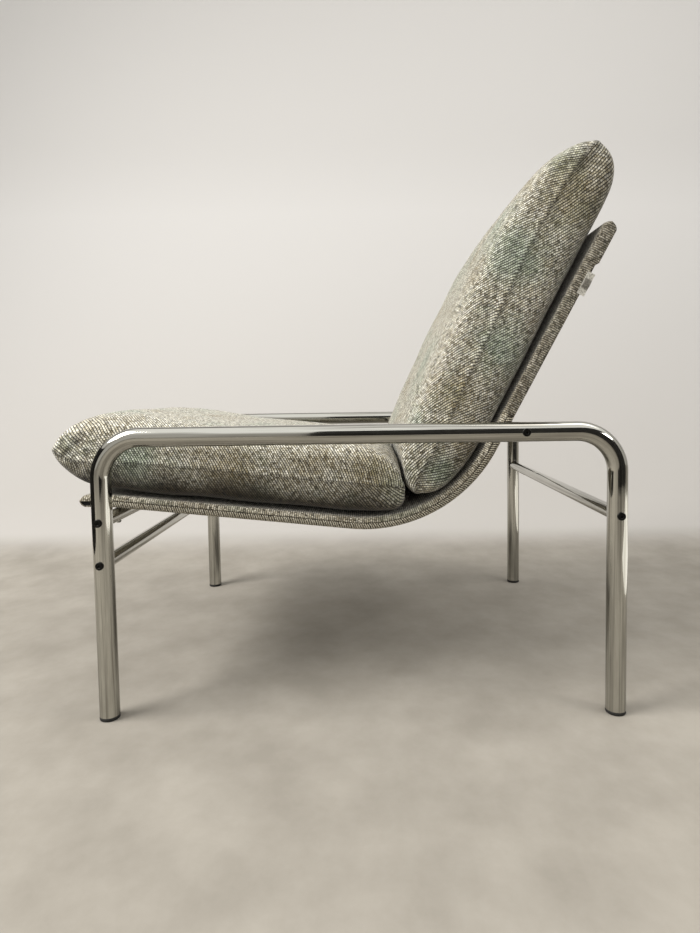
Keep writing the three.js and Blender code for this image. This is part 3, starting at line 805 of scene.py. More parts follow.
@dataclass
class SteelFrame:
    """Bent side tubes, cross tubes, bolts and glides."""

    finishes: Finishes
    sides: int = 64
    arc_step: float = 3.0
    straight_step: float = 120.0
    foot_gap: float = 0.3
    fit_gap: float = 0.4
    bolt_radius: float = 5.75
    bolt_rise: float = 2.6
    bolt_soft: float = 0.5
    socket_radius: float = 2.7
    socket_depth: float = 2.0
    glide_stem: float = 8.0

    def build(self) -> None:
        """Builds every piece of the frame."""
        for hand in Hand:
            self.side_tube(hand)
            for row, sign in (("front", -1), ("rear", 1)):
                self.glide(hand, row, LAYOUT.middle_y + sign * LAYOUT.leg_y)
            for place, (y, z, _) in LAYOUT.cross_tubes().items():
                self.bolt(hand, place, y, z)
        for place, (y, z, meets) in LAYOUT.cross_tubes().items():
            self.cross_tube(place, y, z, meets)

    def side_tube(self, hand: Hand) -> None:
        """Builds one bent side tube.

        Args:
            hand: Which side.
        """
        foot = LAYOUT.glide_height + self.foot_gap
        front, rear = LAYOUT.middle_y - LAYOUT.leg_y, LAYOUT.middle_y + LAYOUT.leg_y
        corners = [np.array(corner) for corner in (
            (front, foot), (front, LAYOUT.arm_z), (rear, LAYOUT.arm_z), (rear, foot))]
        line = rounded_line(corners, LAYOUT.bend_radius, self.arc_step, self.straight_step)
        along = unit(np.gradient(line, axis=0))
        along[0], along[-1] = unit(corners[1] - corners[0]), unit(corners[-1] - corners[-2])
        rings = [
            circle(np.array([hand.value * LAYOUT.frame_x, y, z]), ACROSS, np.array([0.0, -tz, ty]),
                   LAYOUT.tube_radius, self.sides)
            for (y, z), (ty, tz) in zip(line, along)
        ]
        piece = swept_piece(f"chrome_side_tube_{hand.word}", rings)
        harden(piece, 35)
        self.finishes.hand_over(piece, FRAME_BODY, Slot.CHROME, f"side_frame_{hand.word}")

    def cross_tube(self, place: str, y: float, z: float, meets: Meets) -> None:
        """Builds one cross tube with ends that fit round the side tubes.

        Args:
            place: The tube's place name.
            y: Its axis in Y.
            z: Its axis in Z.
            meets: What its ends are cut to fit.
        """
        angles = np.arange(self.sides) * 2 * math.pi / self.sides
        offset_y, offset_z = LAYOUT.cross_radius * np.cos(angles), LAYOUT.cross_radius * np.sin(angles)
        off_axis = offset_y if meets is Meets.LEG else offset_z
        reach = LAYOUT.frame_x - np.sqrt((LAYOUT.tube_radius - self.fit_gap) ** 2 - off_axis**2)
        shares = (-1.0, -0.5, 0.0, 0.5, 1.0)
        rings = [np.column_stack([reach * share, y + offset_y, z + offset_z]) for share in shares]
        piece = swept_piece(f"chrome_cross_tube_{place}", rings, closed_ends=False)
        self.finishes.hand_over(piece, FRAME_BODY, Slot.CHROME, f"cross_tube_{place}")

    def bolt(self, hand: Hand, place: str, y: float, z: float) -> None:
        """Builds one socket bolt.

        Args:
            hand: Which side.
            place: The cross tube's place name.
            y: The bolt's axis in Y.
            z: The bolt's axis in Z.
        """
        skin_x, radius = LAYOUT.tube_radius, self.bolt_radius
        soft, socket = self.bolt_soft, self.socket_radius
        top = skin_x + self.bolt_rise
        floor = top - self.socket_depth
        profile = [
            (radius - 0.3, skin_x - 3.0), (radius, skin_x - 1.0), (radius, top - 2 * soft),
            (radius - 0.35 * soft, top - soft), (radius - 1.4 * soft, top - 0.15 * soft),
            (radius - 2.2 * soft, top), (socket + 0.5, top), (socket, top - 0.3), (socket, floor),
            (0.4, floor - 0.6),
        ]
        base = np.array([hand.value * LAYOUT.frame_x, y, z])
        name = f"socket_bolt_{place}_{hand.word}"
        piece = turned_piece(name, profile, base, hand.value * ACROSS, 30, range(6, 9))
        self.finishes.hand_over(piece, FRAME_BODY, Slot.BLACK_STEEL, f"bolt_{place}_{hand.word}")

    def glide(self, hand: Hand, row: str, y: float) -> None:
        """Builds one foot glide.

        Args:
            hand: Which side.
            row: Front or rear.
            y: The leg's axis in Y.
        """
        radius, height = LAYOUT.tube_radius, LAYOUT.glide_height
        profile = [
            (0.5, 0.0), (radius - 1.6, 0.0), (radius - 0.5, 0.4), (radius, 1.4), (radius, height - 0.9),
            (radius - 0.3, height - 0.3), (radius - 1.2, height), (radius - 2.4, height + 0.2),
            (radius - 2.6, height + self.glide_stem), (0.5, height + self.glide_stem),
        ]
        name = f"glide_{row}_{hand.word}"
        base = np.array([hand.value * LAYOUT.frame_x, y, 0.0])
        piece = turned_piece(f"rubber_{name}", profile, base, UPRIGHT, 50)
        self.finishes.hand_over(piece, FRAME_BODY, Slot.RUBBER, name)


# Sling


@dataclass
class Sling:
    """Cloth sleeve over the seat frame, its stitched edges, its open front corners and the tab."""

    finishes: Finishes
    line: SlingLine
    half_width: float = 253.0
    step: float = 5.0
    edge_round: float = 3.5
    roll: float = 6.0
    seam_depth: float = 1.3
    seam_breadth: float = 0.7
    seam_share: float = 0.76
    seam_start: float = 18.0
    seam_rise: float = 10.0
    seam_fall: float = 30.0
    seam_past_bend: float = 40.0
    hem_length: float = 62.0
    hem_rise: float = 3.6
    mouth_depth: float = 0.9
    mouth_length: float = 24.0
    mouth_low: float = -7.7
    mouth_high: float = 0.6
    cloth: float = 1.2
    pad_half_width: float = 232.0
    stitch_pitch: float = 3.5
    stitch_radius: float = 1.15
    stitch_start: float = 22.0
    stitch_slant: float = 3.2
    # Painted shade behind the edge stitches, and a darker back part of the sleeve.
    stitch_shade: float = 0.9
    back_darkening: float = 0.45
    tab_length: float = 35.0
    tab_width: float = 11.5
    tab_thickness: float = 0.8
    tab_place: float = 274.0
    tab_drop: float = 5.6
    tab_fold_shade: float = 0.75

    def build(self) -> None:
        """Builds the sling's pieces."""
        self.points = self.line.stations(1.0, self.line.half)
        self.run = travelled(self.points)
        self.seam_end = self.run[-1] - self.line.back_reach + self.seam_past_bend
        self.sleeve()
        self.wadding()
        for hand in Hand:
            self.stitches(hand)
        for hand in Hand:
            self.plug(hand)
        self.tab()

    def section(self, upper: float, lower: float, seam: float) -> np.ndarray:
        """Closed cross-section of the sleeve.

        Args:
            upper: Height of the sitting side above the centre line.
            lower: Depth of the outer side below it.
            seam: Strength of the edge seam, from 0 to 1.

        Returns:
            Points as (x, height), the same count for every call.
        """
        edge = self.half_width
        roll, bow = min(self.roll, upper, lower), min(self.edge_round, upper, lower)
        top, bottom = upper - roll, bow - lower
        turns = np.linspace(0, QUARTER, 6)[1:]
        side = [(edge - roll + roll * math.sin(angle), top + roll * math.cos(angle)) for angle in turns]
        seam_at = bottom + (top - bottom) * self.seam_share
        for share in (0.92, 0.86, 0.82, 0.79, 0.76, 0.73, 0.68, 0.58, 0.42, 0.26, 0.1):
            height = bottom + (top - bottom) * share
            dip = self.seam_depth * seam * math.exp(-(((height - seam_at) / self.seam_breadth) ** 2))
            side.append((edge + 0.35 * seam - dip, height))
        side += [(edge - bow + bow * math.sin(angle), bottom - bow * math.cos(angle))
                 for angle in turns[::-1]]
        flats = np.linspace(roll - edge, edge - roll, 64)
        left = [(-x, height) for x, height in side[::-1]]
        return np.array([(x, upper) for x in flats] + side + [(x, -lower) for x in flats[::-1]] + left)

    def sleeve(self) -> None:
        """Builds the cloth sleeve with its open front corners."""
        half = self.line.half
        points = self.line.stations(self.step, half - 0.05)
        run, along = travelled(points), unit(np.gradient(points, axis=0))
        length = run[-1]
        caps = half * (1 - np.cos(np.linspace(0, QUARTER, 7))) + 0.02
        inner = run[(run > half + 1) & (run < length - half - 1)]
        hem = length - self.hem_length + np.array([-2.0, 0.0, 2.0])
        rings, flat = [], []
        for mark in np.unique(np.concatenate([caps, inner, hem, length - caps])):
            (y, z), (ty, tz) = read_line(mark, run, points), unit(read_line(mark, run, along))
            short = min(mark, length - mark, half)
            swell = math.sqrt(max(1 - ((half - short) / half) ** 2, 0.0004))
            hemmed = smooth_step((mark - (length - self.hem_length)) / 2.5 + 0.5)
            seam = smooth_step((mark - self.seam_start) / self.seam_rise)
            seam *= 1 - smooth_step((mark - self.seam_end) / self.seam_fall)
            section = self.section(half * swell, (half + self.hem_rise * hemmed) * swell, seam)
            x, height = section.T
            rings.append(np.column_stack([x, y - tz * height, z + ty * height]))
            flat.append(np.column_stack([np.full(len(x), mark), np.abs(x), height]))
        piece = swept_piece("sling_sleeve", rings)
        self.darken_edges(piece, np.vstack(flat))
        self.bind_edges(piece, flat)
        self.open_corners(piece, flat)
        shell = piece.modifiers.new("cloth_thickness", "SOLIDIFY")
        shell.thickness = self.cloth * MM
        shell.offset = -1.0
        self.finishes.hand_over(piece, FRAME_BODY, Slot.SLING_CLOTH, "sling_cover")
        piece.data.materials.append(self.finishes.binding)

    def darken_edges(self, piece: Piece, flat: np.ndarray) -> None:
        """Darkens the cloth behind the edge stitches with painted shade, and darkens the back part of the
        sleeve.

        Args:
            piece: The sleeve.
            flat: Distance from the front, distance from the middle and height of each point.
        """
        mark, aside, height = flat.T
        last = self.seam_end + 20
        stitched = (mark > self.seam_start - 2) & (mark < last) & (aside > self.half_width - 2.5)
        behind = stitched & (height > -7.5) & (height < 0.9)
        lay_darkening(piece, np.where(behind, self.stitch_shade, np.where(mark > last, self.back_darkening, 0.0)))

    def bind_edges(self, piece: Piece, flat: list[np.ndarray]) -> None:
        """Marks the smooth bound strip along the upper half of each edge of the seat.

        Args:
            piece: The sleeve.
            flat: Distance from the front, distance from the middle and height, ring by ring.
        """
        mark, aside, height = np.vstack(flat).T
        bound = (aside > self.half_width - self.roll - 0.5) & (height > 0.5) & (mark < self.seam_end + 14)
        for polygon in piece.data.polygons:
            if bound[list(polygon.vertices)].all():
                polygon.material_index = 1

    def open_corners(self, piece: Piece, flat: list[np.ndarray]) -> None:
        """Opens the lower front corners of the sleeve, and leaves the cloth's rim round each opening.

        Args:
            piece: The sleeve.
            flat: Distance from the front, distance from the middle and height, ring by ring.
        """
        count = len(flat[0])
        work = bmesh.new()
        work.from_mesh(piece.data)
        doomed = []
        for face in work.faces:
            corners = [corner.index for corner in face.verts]
            if len(corners) != 4 or flat[min(corners) // count][0, 0] < 1.1:
                continue
            mark, aside, height = flat[max(corners) // count][[corner % count for corner in corners]].T
            beside = (aside > self.half_width - self.mouth_depth).all() and mark[0] <= self.mouth_length
            if beside and (height > self.mouth_low).all() and (height < self.mouth_high).all():
                doomed.append(face)
        bmesh.ops.delete(work, geom=doomed, context="FACES")
        work.to_mesh(piece.data)
        work.free()

    def wadding(self) -> None:
        """Builds the thin pad inside the sleeve."""
        points = self.line.stations(12.0, -self.line.half)
        edge, flat = self.pad_half_width, self.pad_half_width - 4
        lower = ((-edge, -5), (-flat, -6.3), (flat, -6.3), (edge, -5))
        outline = (*lower, *[(-x, -height) for x, height in lower])
        rings = [
            np.array([(x, y - tz * height, z + ty * height) for x, height in outline])
            for (y, z), (ty, tz) in zip(points, unit(np.gradient(points, axis=0)))
        ]
        piece = swept_piece("sling_wadding", rings)
        self.finishes.hand_over(piece, FRAME_BODY, Slot.PAD, "sling_pad")

    def stitches(self, hand: Hand) -> None:
        """Builds the overcast stitches along one edge of the seat.

        Args:
            hand: Which side.
        """
        along = unit(np.gradient(self.points, axis=0))
        path = ((-0.5, 0.3, -0.9), (-0.35, -0.6, -0.1), (0.1, -3.0, 0.5), (0.45, -5.8, 0.3),
                (0.7, -7.9, -1.0))
        points, faces = [], []
        for number, place in enumerate(np.arange(self.stitch_start, self.seam_end + 12, self.stitch_pitch)):
            jitter = noise.noise(Vector((number * 1.7, hand.value * 3.1, 0.0)))
            rings = []
            for lean, height, out in path:
                at = place + lean * self.stitch_slant + jitter * 0.6
                (y, z), (ty, tz) = read_line(at, self.run, self.points), read_line(at, self.run, along)
                high = height + jitter * 0.4
                centre = np.array([hand.value * (self.half_width + out), y - tz * high, z + ty * high])
                rings.append(circle(centre, ACROSS, np.array([0.0, ty, tz]), self.stitch_radius, 6))
            own_points, own_faces = skin(rings)
            faces.extend(tuple(len(points) + corner for corner in face) for face in own_faces)
            points.extend(own_points.tolist())
        piece = make_piece(f"edge_stitches_{hand.word}", points, faces)
        lay_plain_map(piece)
        self.finishes.hand_over(piece, FRAME_BODY, Slot.SLING_CLOTH)
        piece.data.materials[0] = self.finishes.thread

    def plug(self, hand: Hand) -> None:
        """Builds one round plug of the front rail, seen at the sleeve's open corner.

        Args:
            hand: Which side.
        """
        radius, face = self.line.half - 1.5, self.half_width - 3.3
        profile = [
            (radius - 1.5, face - 12.0), (radius - 1.5, face - 2.6), (radius - 0.2, face - 2.6),
            (radius, face - 2.2), (radius, face - 0.7), (radius - 0.6, face - 0.1), (radius - 1.4, face),
            (radius - 2.0, face - 0.2), (radius - 2.6, face - 1.0), (1.6, face - 1.2), (1.0, face - 1.7),
            (0.2, face - 1.7),
        ]
        base = np.array([0.0, *self.line.front_end])
        piece = turned_piece(f"rubber_rail_plug_{hand.word}", profile, base, hand.value * ACROSS, 50)
        self.finishes.hand_over(piece, FRAME_BODY, Slot.RUBBER, f"front_rail_plug_{hand.word}")

    def tab(self) -> None:
        """Builds the blank woven tab that is sewn to the sleeve's edge."""
        middle = self.line.back_tangent + self.line.back_upward * self.tab_place
        low_edge = -self.line.half - self.tab_drop
        columns, rows = 24, 12
        backs, darkening = [], []
        for i in range(columns + 1):
            for j in range(rows + 1):
                a, b = i / columns, j / rows
                curl = 1.2 * (1 - b) ** 2 * math.sin(math.pi * a) + 0.9 * math.cos(4 * math.pi * a) * (1 - b)
                spot = (middle + self.line.back_upward * ((a - 0.5) * self.tab_length)
                        + self.line.back_forward * (low_edge + b * self.tab_width))
                backs.append((self.half_width + 0.4 + max(curl, 0.0), spot[0], spot[1]))
                # Painted shade in the tab's folded middle.
                folded = smooth_step((0.24 - abs(a - 0.5)) / 0.05)
                darkening.append(self.tab_fold_shade * folded * smooth_step((0.95 - b) / 0.2))
        count = len(backs)
        faces = []
        for i in range(columns):
            for j in range(rows):
                a, b = i * (rows + 1) + j, (i + 1) * (rows + 1) + j
                faces += [(a, a + 1, b + 1, b), (count + a, count + b, count + b + 1, count + a + 1)]
        last = columns * (rows + 1)
        rim = [*range(0, last, rows + 1), *range(last, last + rows), *range(last + rows, rows, -rows - 1),
               *range(rows, 0, -1)]
        faces += [(a, b, count + b, count + a) for a, b in zip(rim, rim[1:] + rim[:1])]
        fronts = [(x + self.tab_thickness, y, z) for x, y, z in backs]
        piece = make_piece("blank_tape_tab", backs + fronts, faces)
        lay_plain_map(piece)
        lay_darkening(piece, darkening + darkening)
        harden(piece, 40)
        self.finishes.hand_over(piece, FRAME_BODY, Slot.TAB, "sling_tab")


# Cushions


@dataclass
class Grid:
    """Points and faces of a cushion's two panels, which share their edge."""

    rows: int
    columns: int
    numbers: list[dict[tuple[int, int], int]]
    points: np.ndarray
    faces: list[Face]

    def border(self) -> list[int]:
        """Numbers of the seam's points, in order round the cushion."""
        ring = ([(0, j) for j in range(self.columns)]
                + [(i, self.columns) for i in range(self.rows)]
                + [(self.rows, j) for j in range(self.columns, 0, -1)]
                + [(i, 0) for i in range(self.rows, 0, -1)])
        return [self.numbers[0][spot] for spot in ring]


@dataclass
class Cushion:
    """A loose cushion of two cloth panels sewn together round a soft, full filling.

    It is drawn in the side view on the sling's rest surface: distance along it from the
    bend, and height above it.
    """

    name: str
    node: str
    body: str
    finishes: Finishes
    line: SlingLine
    origin: np.ndarray
    along: np.ndarray
    up: np.ndarray
    side: int
    over: Drawn
    under: Drawn
    edge_seam: Drawn
    tilt: float
    darkened: float
    seed: float
    folds: tuple[tuple[tuple[float, float], tuple[float, float], float, float], ...]
    width: float = 525.0
    draw_in: float = 8.0
    corner_depths: tuple[float, float] = (24.0, 42.0)
    full_over: float = 5.2
    full_under: float = 8.5
    side_run: float = 55.0
    side_rise: float = 60.0
    rest_gap: float = 0.4
    meet_gap: float = 0.5
    overhang: float = 6.0
    spacing: float = 6.0
    cap: float = 2.5
    dent_size: float = 90.0
    dent_depth: float = 2.4
    dent_limit: float = 2.5
    ripple_size: tuple[float, float] = (30.0, 42.0)
    ripple_depth: float = 0.8
    gather_depth: float = 1.6
    gather_pitch: float = 2.6
    seam_pull: float = 2.6
    seam_reach: float = 7.0
    seam_radius: float = 1.4
    seam_inset: float = 1.2
    # Painted shade: how the cloth darkens toward the sling, in the seam's groove and in the folds.
    darken_start: float = 12.0
    darken_fade: float = 52.0
    darken_drift: float = 14.0
    darken_drift_size: float = 60.0
    groove_shade: float = 0.55
    fold_shade: float = 0.14
    meet_share: float = 0.423
    meet_height: float = 64.0
    meet_lean: float = 9.3

    def build(self) -> None:
        """Builds the cushion and its seam."""
        grid = self.panels()
        piece = make_piece(self.name, self.cleared(grid.points), grid.faces)
        self.lay_map(piece, grid)
        inflate(piece, self.cap)
        smooth_finish(piece)
        loop = np.array([piece.data.vertices[number].co for number in grid.border()])
        self.darken(piece, self.settle(piece, loop))
        self.finishes.hand_over(piece, self.body, Slot.TWEED, self.node)
        self.seam(loop)

    def panels(self) -> Grid:
        """Lays out both panels as one closed grid.

        Returns:
            The grid.
        """
        over, under = np.array(self.over), np.array(self.under)
        rows = round(float(travelled(over)[-1]) / self.spacing)
        columns = 2 * round((self.width / 2 + self.side_run) / self.spacing)
        edges = [even_curve(over, rows + 1), even_curve(under, rows + 1)]
        first, last = over[0][0], over[-1][0]
        half_length, middle = (last - first) / 2, (first + last) / 2
        mean = (edges[0][:, 0] + edges[1][:, 0]) / 2
        depth = np.where(mean > middle, self.corner_depths[1], self.corner_depths[0])
        core = middle + (mean - middle) * (1 - depth / half_length)
        seam = np.array(self.edge_seam)
        feet = np.column_stack([core, np.interp(core, seam[:, 0], seam[:, 1])])
        half = self.width / 2 - self.draw_in * (1 - ((core - middle) / half_length) ** 2)
        reach = self.across(columns)
        points, numbers = [], [{}, {}]
        for panel in (0, 1):
            for i in range(rows + 1):
                spoke = edges[panel][i] - feet[i]
                lean = max(0.0, -spoke[1] / max(float(np.linalg.norm(spoke)), 1e-6))
                power = self.full_over + (self.full_under - self.full_over) * lean**2
                for j in range(columns + 1):
                    if panel == 1 and (i in (0, rows) or j in (0, columns)):
                        numbers[1][i, j] = numbers[0][i, j]
                        continue
                    share = max(1 - abs(reach[j]) ** power, 0.0) ** (1 / power)
                    numbers[panel][i, j] = len(points)
                    points.append(self.dented(half[i] * reach[j], feet[i] + spoke * share, spoke, 1 - share))
        faces = []
        for panel in (0, 1):
            for i in range(rows):
                for j in range(columns):
                    corners = ((i, j), (i, j + 1), (i + 1, j + 1), (i + 1, j))
                    quad = tuple(numbers[panel][spot] for spot in corners)
                    faces.append(quad if (panel == 0) == (self.side < 0) else quad[::-1])
        flat = np.array(points)
        spots = self.origin + flat[:, 1:2] * self.along + flat[:, 2:3] * self.up
        return Grid(rows, columns, numbers, np.column_stack([flat[:, 0], spots]), faces)

    def across(self, columns: int) -> np.ndarray:
        """Places of the columns, evenly spaced along a rounded section.

        Args:
            columns: Number of columns.

        Returns:
            The places, from -1 to 1.
        """
        turn = np.linspace(-QUARTER, QUARTER, 2001)
        power = (self.full_over + self.full_under) / 2
        reach = np.sign(turn) * np.abs(np.sin(turn)) ** (2 / power)
        rise = np.abs(np.cos(turn)) ** (2 / power)
        run = travelled(np.column_stack([reach * self.width / 2, rise * self.side_rise]))
        places = np.interp(np.linspace(0, run[-1], columns + 1), run, reach)
        places[0], places[-1] = -1.0, 1.0
        return places

    def dented(self, x: float, spot: np.ndarray, spoke: np.ndarray, near_seam: float) -> Point:
        """Adds slow dents to a place of the cover, gathers beside the seam and folds in the side.

        Args:
            x: The place in X.
            spot: The place in the side view.
            spoke: The way from the seam's foot to the cover's middle.
            near_seam: Nearness to the seam, from 0 to 1.

        Returns:
            The place in X, its distance and its height.
        """
        size = float(np.linalg.norm(spoke))
        way = spoke / size if size > 1e-6 else np.zeros(2)
        wide, long = self.ripple_size
        slow = noise.noise(Vector((x / self.dent_size, spot[0] / self.dent_size, self.seed + way[1])))
        fine = noise.noise(Vector((x / wide, spot[0] / long, self.seed + 7 + way[1])))
        run = spot[0] + 0.7 * x
        gather = math.sin(run / self.gather_pitch + 3 * slow)
        gather *= noise.noise(Vector((run / 40, self.seed, way[1])))
        gather *= self.gather_depth * smooth_step((near_seam - 0.2) / 0.6)
        raised = min(self.dent_depth * slow + self.ripple_depth * fine + gather, self.dent_limit)
        place = spot + way * raised * min(size / 20, 1)
        sideways = smooth_step((abs(x) / (self.width / 2) - 0.86) / 0.08)
        inward = sideways * (self.folded(place) + max(1.3 * gather, 0.0))
        return (x - math.copysign(inward, x), place[0], place[1])

    def folded(self, spot: np.ndarray) -> float:
        """Depth of the folds at a place of the side view.

        Args:
            spot: Distance and height.

        Returns:
            The depth in millimetres.
        """
        deepest = 0.0
        for start, end, depth, width in self.folds:
            first = np.array(start, dtype=float)
            way = np.array(end) - first
            share = min(max(float((spot - first) @ way) / float(way @ way), 0.0), 1.0)
            gap = float(np.linalg.norm(spot - first - way * share))
            taper = math.sin(math.pi * (0.12 + 0.76 * share))
            deepest = max(deepest, depth * taper * math.exp(-((gap / width) ** 2)))
        return deepest

    def cleared(self, places: np.ndarray) -> np.ndarray:
        """Keeps places off the sling's rest surface and on this side of the meeting plane.

        Args:
            places: Places in the chair's frame.

        Returns:
            The places, moved where they have to be.
        """
        flat = places[:, 1:] - self.origin
        distance, height = flat @ self.along, flat @ self.up
        height = np.maximum(height, self.line.rest_height(distance) + self.rest_gap)
        spot = self.origin + distance[:, None] * self.along + height[:, None] * self.up
        turned = rotated(self.line.seat_up, self.meet_share * self.line.turn)
        meet = self.line.bend_centre + turned * (self.meet_height - self.line.rest_radius)
        toward_back = rotated(np.array([1.0, 0.0]), math.radians(self.meet_lean))
        excess = np.minimum(self.side * ((spot - meet) @ toward_back) - self.meet_gap, 0.0)
        spot -= self.side * excess[:, None] * toward_back
        limit = self.width / 2 + self.overhang
        return np.column_stack([np.clip(places[:, 0], -limit, limit), spot])

    def lay_map(self, piece: Piece, grid: Grid) -> None:
        """Lays each panel flat, as it was cut, in metres, turned so that the twill slants.

        Args:
            piece: The cushion.
            grid: Its panels.
        """
        mesh = piece.data
        mesh.uv_layers.new(name=CLOTH_MAP)
        rim = set(grid.border())
        for edge in mesh.edges:
            edge.use_seam = rim.issuperset(edge.vertices)
        lay_flat(piece)
        places = np.array([vertex.co for vertex in mesh.vertices])
        distance = (places[:, 1:] - self.origin * MM) @ self.along
        corners = np.empty(len(mesh.loops), dtype=int)
        mesh.loops.foreach_get("vertex_index", corners)
        flat = np.empty(2 * len(corners))
        mesh.uv_layers[CLOTH_MAP].data.foreach_get("uv", flat)
        flat = flat.reshape(-1, 2)
        half = len(corners) // 2
        for panel, tilt in enumerate((self.tilt, -self.tilt)):
            own = slice(panel * half, (panel + 1) * half)
            middle = [grid.numbers[panel][i, j] for i in range(grid.rows // 3, 2 * grid.rows // 3)
                      for j in range(grid.columns // 3, 2 * grid.columns // 3)]
            chosen = np.isin(corners[own], middle)
            known = corners[own][chosen]
            source = np.column_stack([flat[own], np.ones(half)])
            target = np.column_stack([distance[known], places[known, 0]])
            true_size = np.linalg.lstsq(source[chosen], target, rcond=None)[0]
            twist = np.array([rotated(way, -math.radians(tilt)) for way in np.eye(2)])
            flat[own] = source @ true_size @ twist
        mesh.uv_layers[CLOTH_MAP].data.foreach_set("uv", flat.ravel())

    def settle(self, piece: Piece, loop: np.ndarray) -> np.ndarray:
        """Pulls the cloth in along the seam and keeps it clear of the sling and the other cushion.

        Args:
            piece: The cushion.
            loop: Places of the seam, in metres.

        Returns:
            Each point's distance from the seam, in millimetres.
        """
        tree = kdtree.KDTree(len(loop))
        for number, place in enumerate(loop):
            tree.insert(Vector(place), number)
        tree.balance()
        mesh = piece.data
        normals = np.array([vertex.normal for vertex in mesh.vertices])
        places = np.array([vertex.co for vertex in mesh.vertices])
        gaps = np.array([tree.find(Vector(place))[2] for place in places]) / MM
        pull = self.seam_pull * MM * np.exp(-((gaps / self.seam_reach) ** 2))
        places = self.cleared((places - normals * pull[:, None]) / MM) * MM
        mesh.vertices.foreach_set("co", places.ravel())
        mesh.update()
        return gaps

    def darken(self, piece: Piece, gaps: np.ndarray) -> None:
        """Paints shade on the cloth: darker toward the sling, where the lower side turns away from the light,
        in its folds and beside the seam.

        Args:
            piece: The cushion.
            gaps: Each point's distance from the seam, in millimetres.
        """
        places = np.array([vertex.co for vertex in piece.data.vertices]) / MM
        spots = (places[:, 1:] - self.origin) @ np.column_stack([self.along, self.up])
        darkening = []
        for place, spot, gap in zip(places, spots, gaps):
            # Painted shade low on the cushion, in the groove beside the seam and in the folds.
            drift = self.darken_drift * noise.noise(Vector(place / self.darken_drift_size))
            height = spot[1] + drift - self.darken_start
            low_shade = self.darkened * (1 - smooth_step(height / self.darken_fade))
            grooved = self.groove_shade * (1 - smooth_step((gap - 1.5) / 4))
            creased = self.fold_shade * self.folded(spot) if abs(place[0]) > 0.42 * self.width else 0.0
            darkening.append(max(low_shade, grooved, creased))
        lay_darkening(piece, darkening)

    def seam(self, loop: np.ndarray) -> None:
        """Builds the raised seam where the two panels are sewn together.

        Args:
            loop: Places of the seam, in metres.
        """
        places = self.cleared(loop / MM)
        along = unit(np.roll(places, -1, axis=0) - np.roll(places, 1, axis=0))
        centre = places.mean(axis=0)
        rings = []
        for place, direction in zip(places, along):
            outward = place - centre
            outward = unit(outward - direction * (outward @ direction))
            second = np.cross(direction, outward)
            rings.append(circle(place - outward * self.seam_inset, outward, second, self.seam_radius, 8))
        rings.append(rings[0])
        piece = swept_piece(f"{self.name}_seam", rings, closed_ends=False)
        self.finishes.hand_over(piece, self.body, Slot.TWEED)


def lay_flat(piece: Piece) -> None:
    """Unwraps a piece along its marked seams."""
    bpy.ops.object.select_all(action="DESELECT")
    piece.select_set(True)
    bpy.context.view_layer.objects.active = piece
    bpy.ops.object.mode_set(mode="EDIT")
    bpy.ops.mesh.select_all(action="SELECT")
    bpy.ops.uv.unwrap(method="ANGLE_BASED", fill_holes=False, correct_aspect=False, margin=0.01)
    bpy.ops.object.mode_set(mode="OBJECT")


def even_curve(drawn: np.ndarray, count: int) -> np.ndarray:
    """Evenly spaced points of a smooth curve through drawn points.

    Args:
        drawn: The drawn points of the side view.
        count: Number of points wanted.

    Returns:
        The points, with the drawn ends kept.
    """
    gaps = np.sqrt(np.linalg.norm(np.diff(drawn, axis=0), axis=1))
    knots = np.concatenate([[0.0], np.cumsum(gaps)])
    at = np.linspace(0, knots[-1], 1200)
    slopes = np.gradient(drawn, knots, axis=0)
    index = np.clip(np.searchsorted(knots, at, side="right") - 1, 0, len(knots) - 2)
    gap = (knots[index + 1] - knots[index])[:, None]
    t = (at - knots[index])[:, None] / gap
    curve = ((2 * t**3 - 3 * t**2 + 1) * drawn[index] + (t**3 - 2 * t**2 + t) * gap * slopes[index]
             + (-2 * t**3 + 3 * t**2) * drawn[index + 1] + (t**3 - t**2) * gap * slopes[index + 1])
    run = travelled(curve)
    return read_line(np.linspace(0, run[-1], count), run, curve)


def smooth_finish(piece: Piece) -> None:
    """Adds one level of subdivision and applies it."""
    finer = piece.modifiers.new("finer", "SUBSURF")
    finer.levels = finer.render_levels = 1
    finer.uv_smooth = "PRESERVE_BOUNDARIES"
    bpy.context.view_layer.update()
    graph = bpy.context.evaluated_depsgraph_get()
    mesh = bpy.data.meshes.new_from_object(piece.evaluated_get(graph))
    piece.modifiers.clear()
    piece.data = mesh
    mesh.shade_smooth()


def inflate(piece: Piece, cap: float, frames: int = 20) -> None:
    """Fills a cushion with air pressure in a short cloth simulation, and keeps its result.

    Args:
        piece: The cushion.
        cap: How far a point may move, in millimetres.
        frames: Length of the simulation.
    """
    scene = bpy.context.scene
    before = np.array([vertex.co for vertex in piece.data.vertices])
    filling = piece.modifiers.new("filling", "CLOTH")
    settings = {
        "quality": 5, "mass": 0.3, "tension_stiffness": 18, "compression_stiffness": 18, "shear_stiffness": 8,
        "bending_stiffness": 0.6, "use_pressure": True, "uniform_pressure_force": 4.0,
    }
    for name, value in settings.items():
        setattr(filling.settings, name, value)
    filling.settings.effector_weights.gravity = 0
    filling.point_cache.frame_start, filling.point_cache.frame_end = 1, frames
    for number in range(1, frames + 1):
        scene.frame_set(number)
    graph = bpy.context.evaluated_depsgraph_get()
    filled = piece.evaluated_get(graph)
    move = np.array([vertex.co for vertex in filled.to_mesh().vertices]) - before
    filled.to_mesh_clear()
    piece.modifiers.clear()
    size = np.linalg.norm(move, axis=1, keepdims=True)
    limit = cap * MM
    held = move * (limit * np.tanh(size / limit) / np.maximum(size, 1e-9))
    log.info("%s: filling moved points by up to %.1f mm", piece.name, float(size.max()) / MM)
    piece.data.vertices.foreach_set("co", (before + held).ravel())
    piece.data.update()
    scene.frame_set(1)


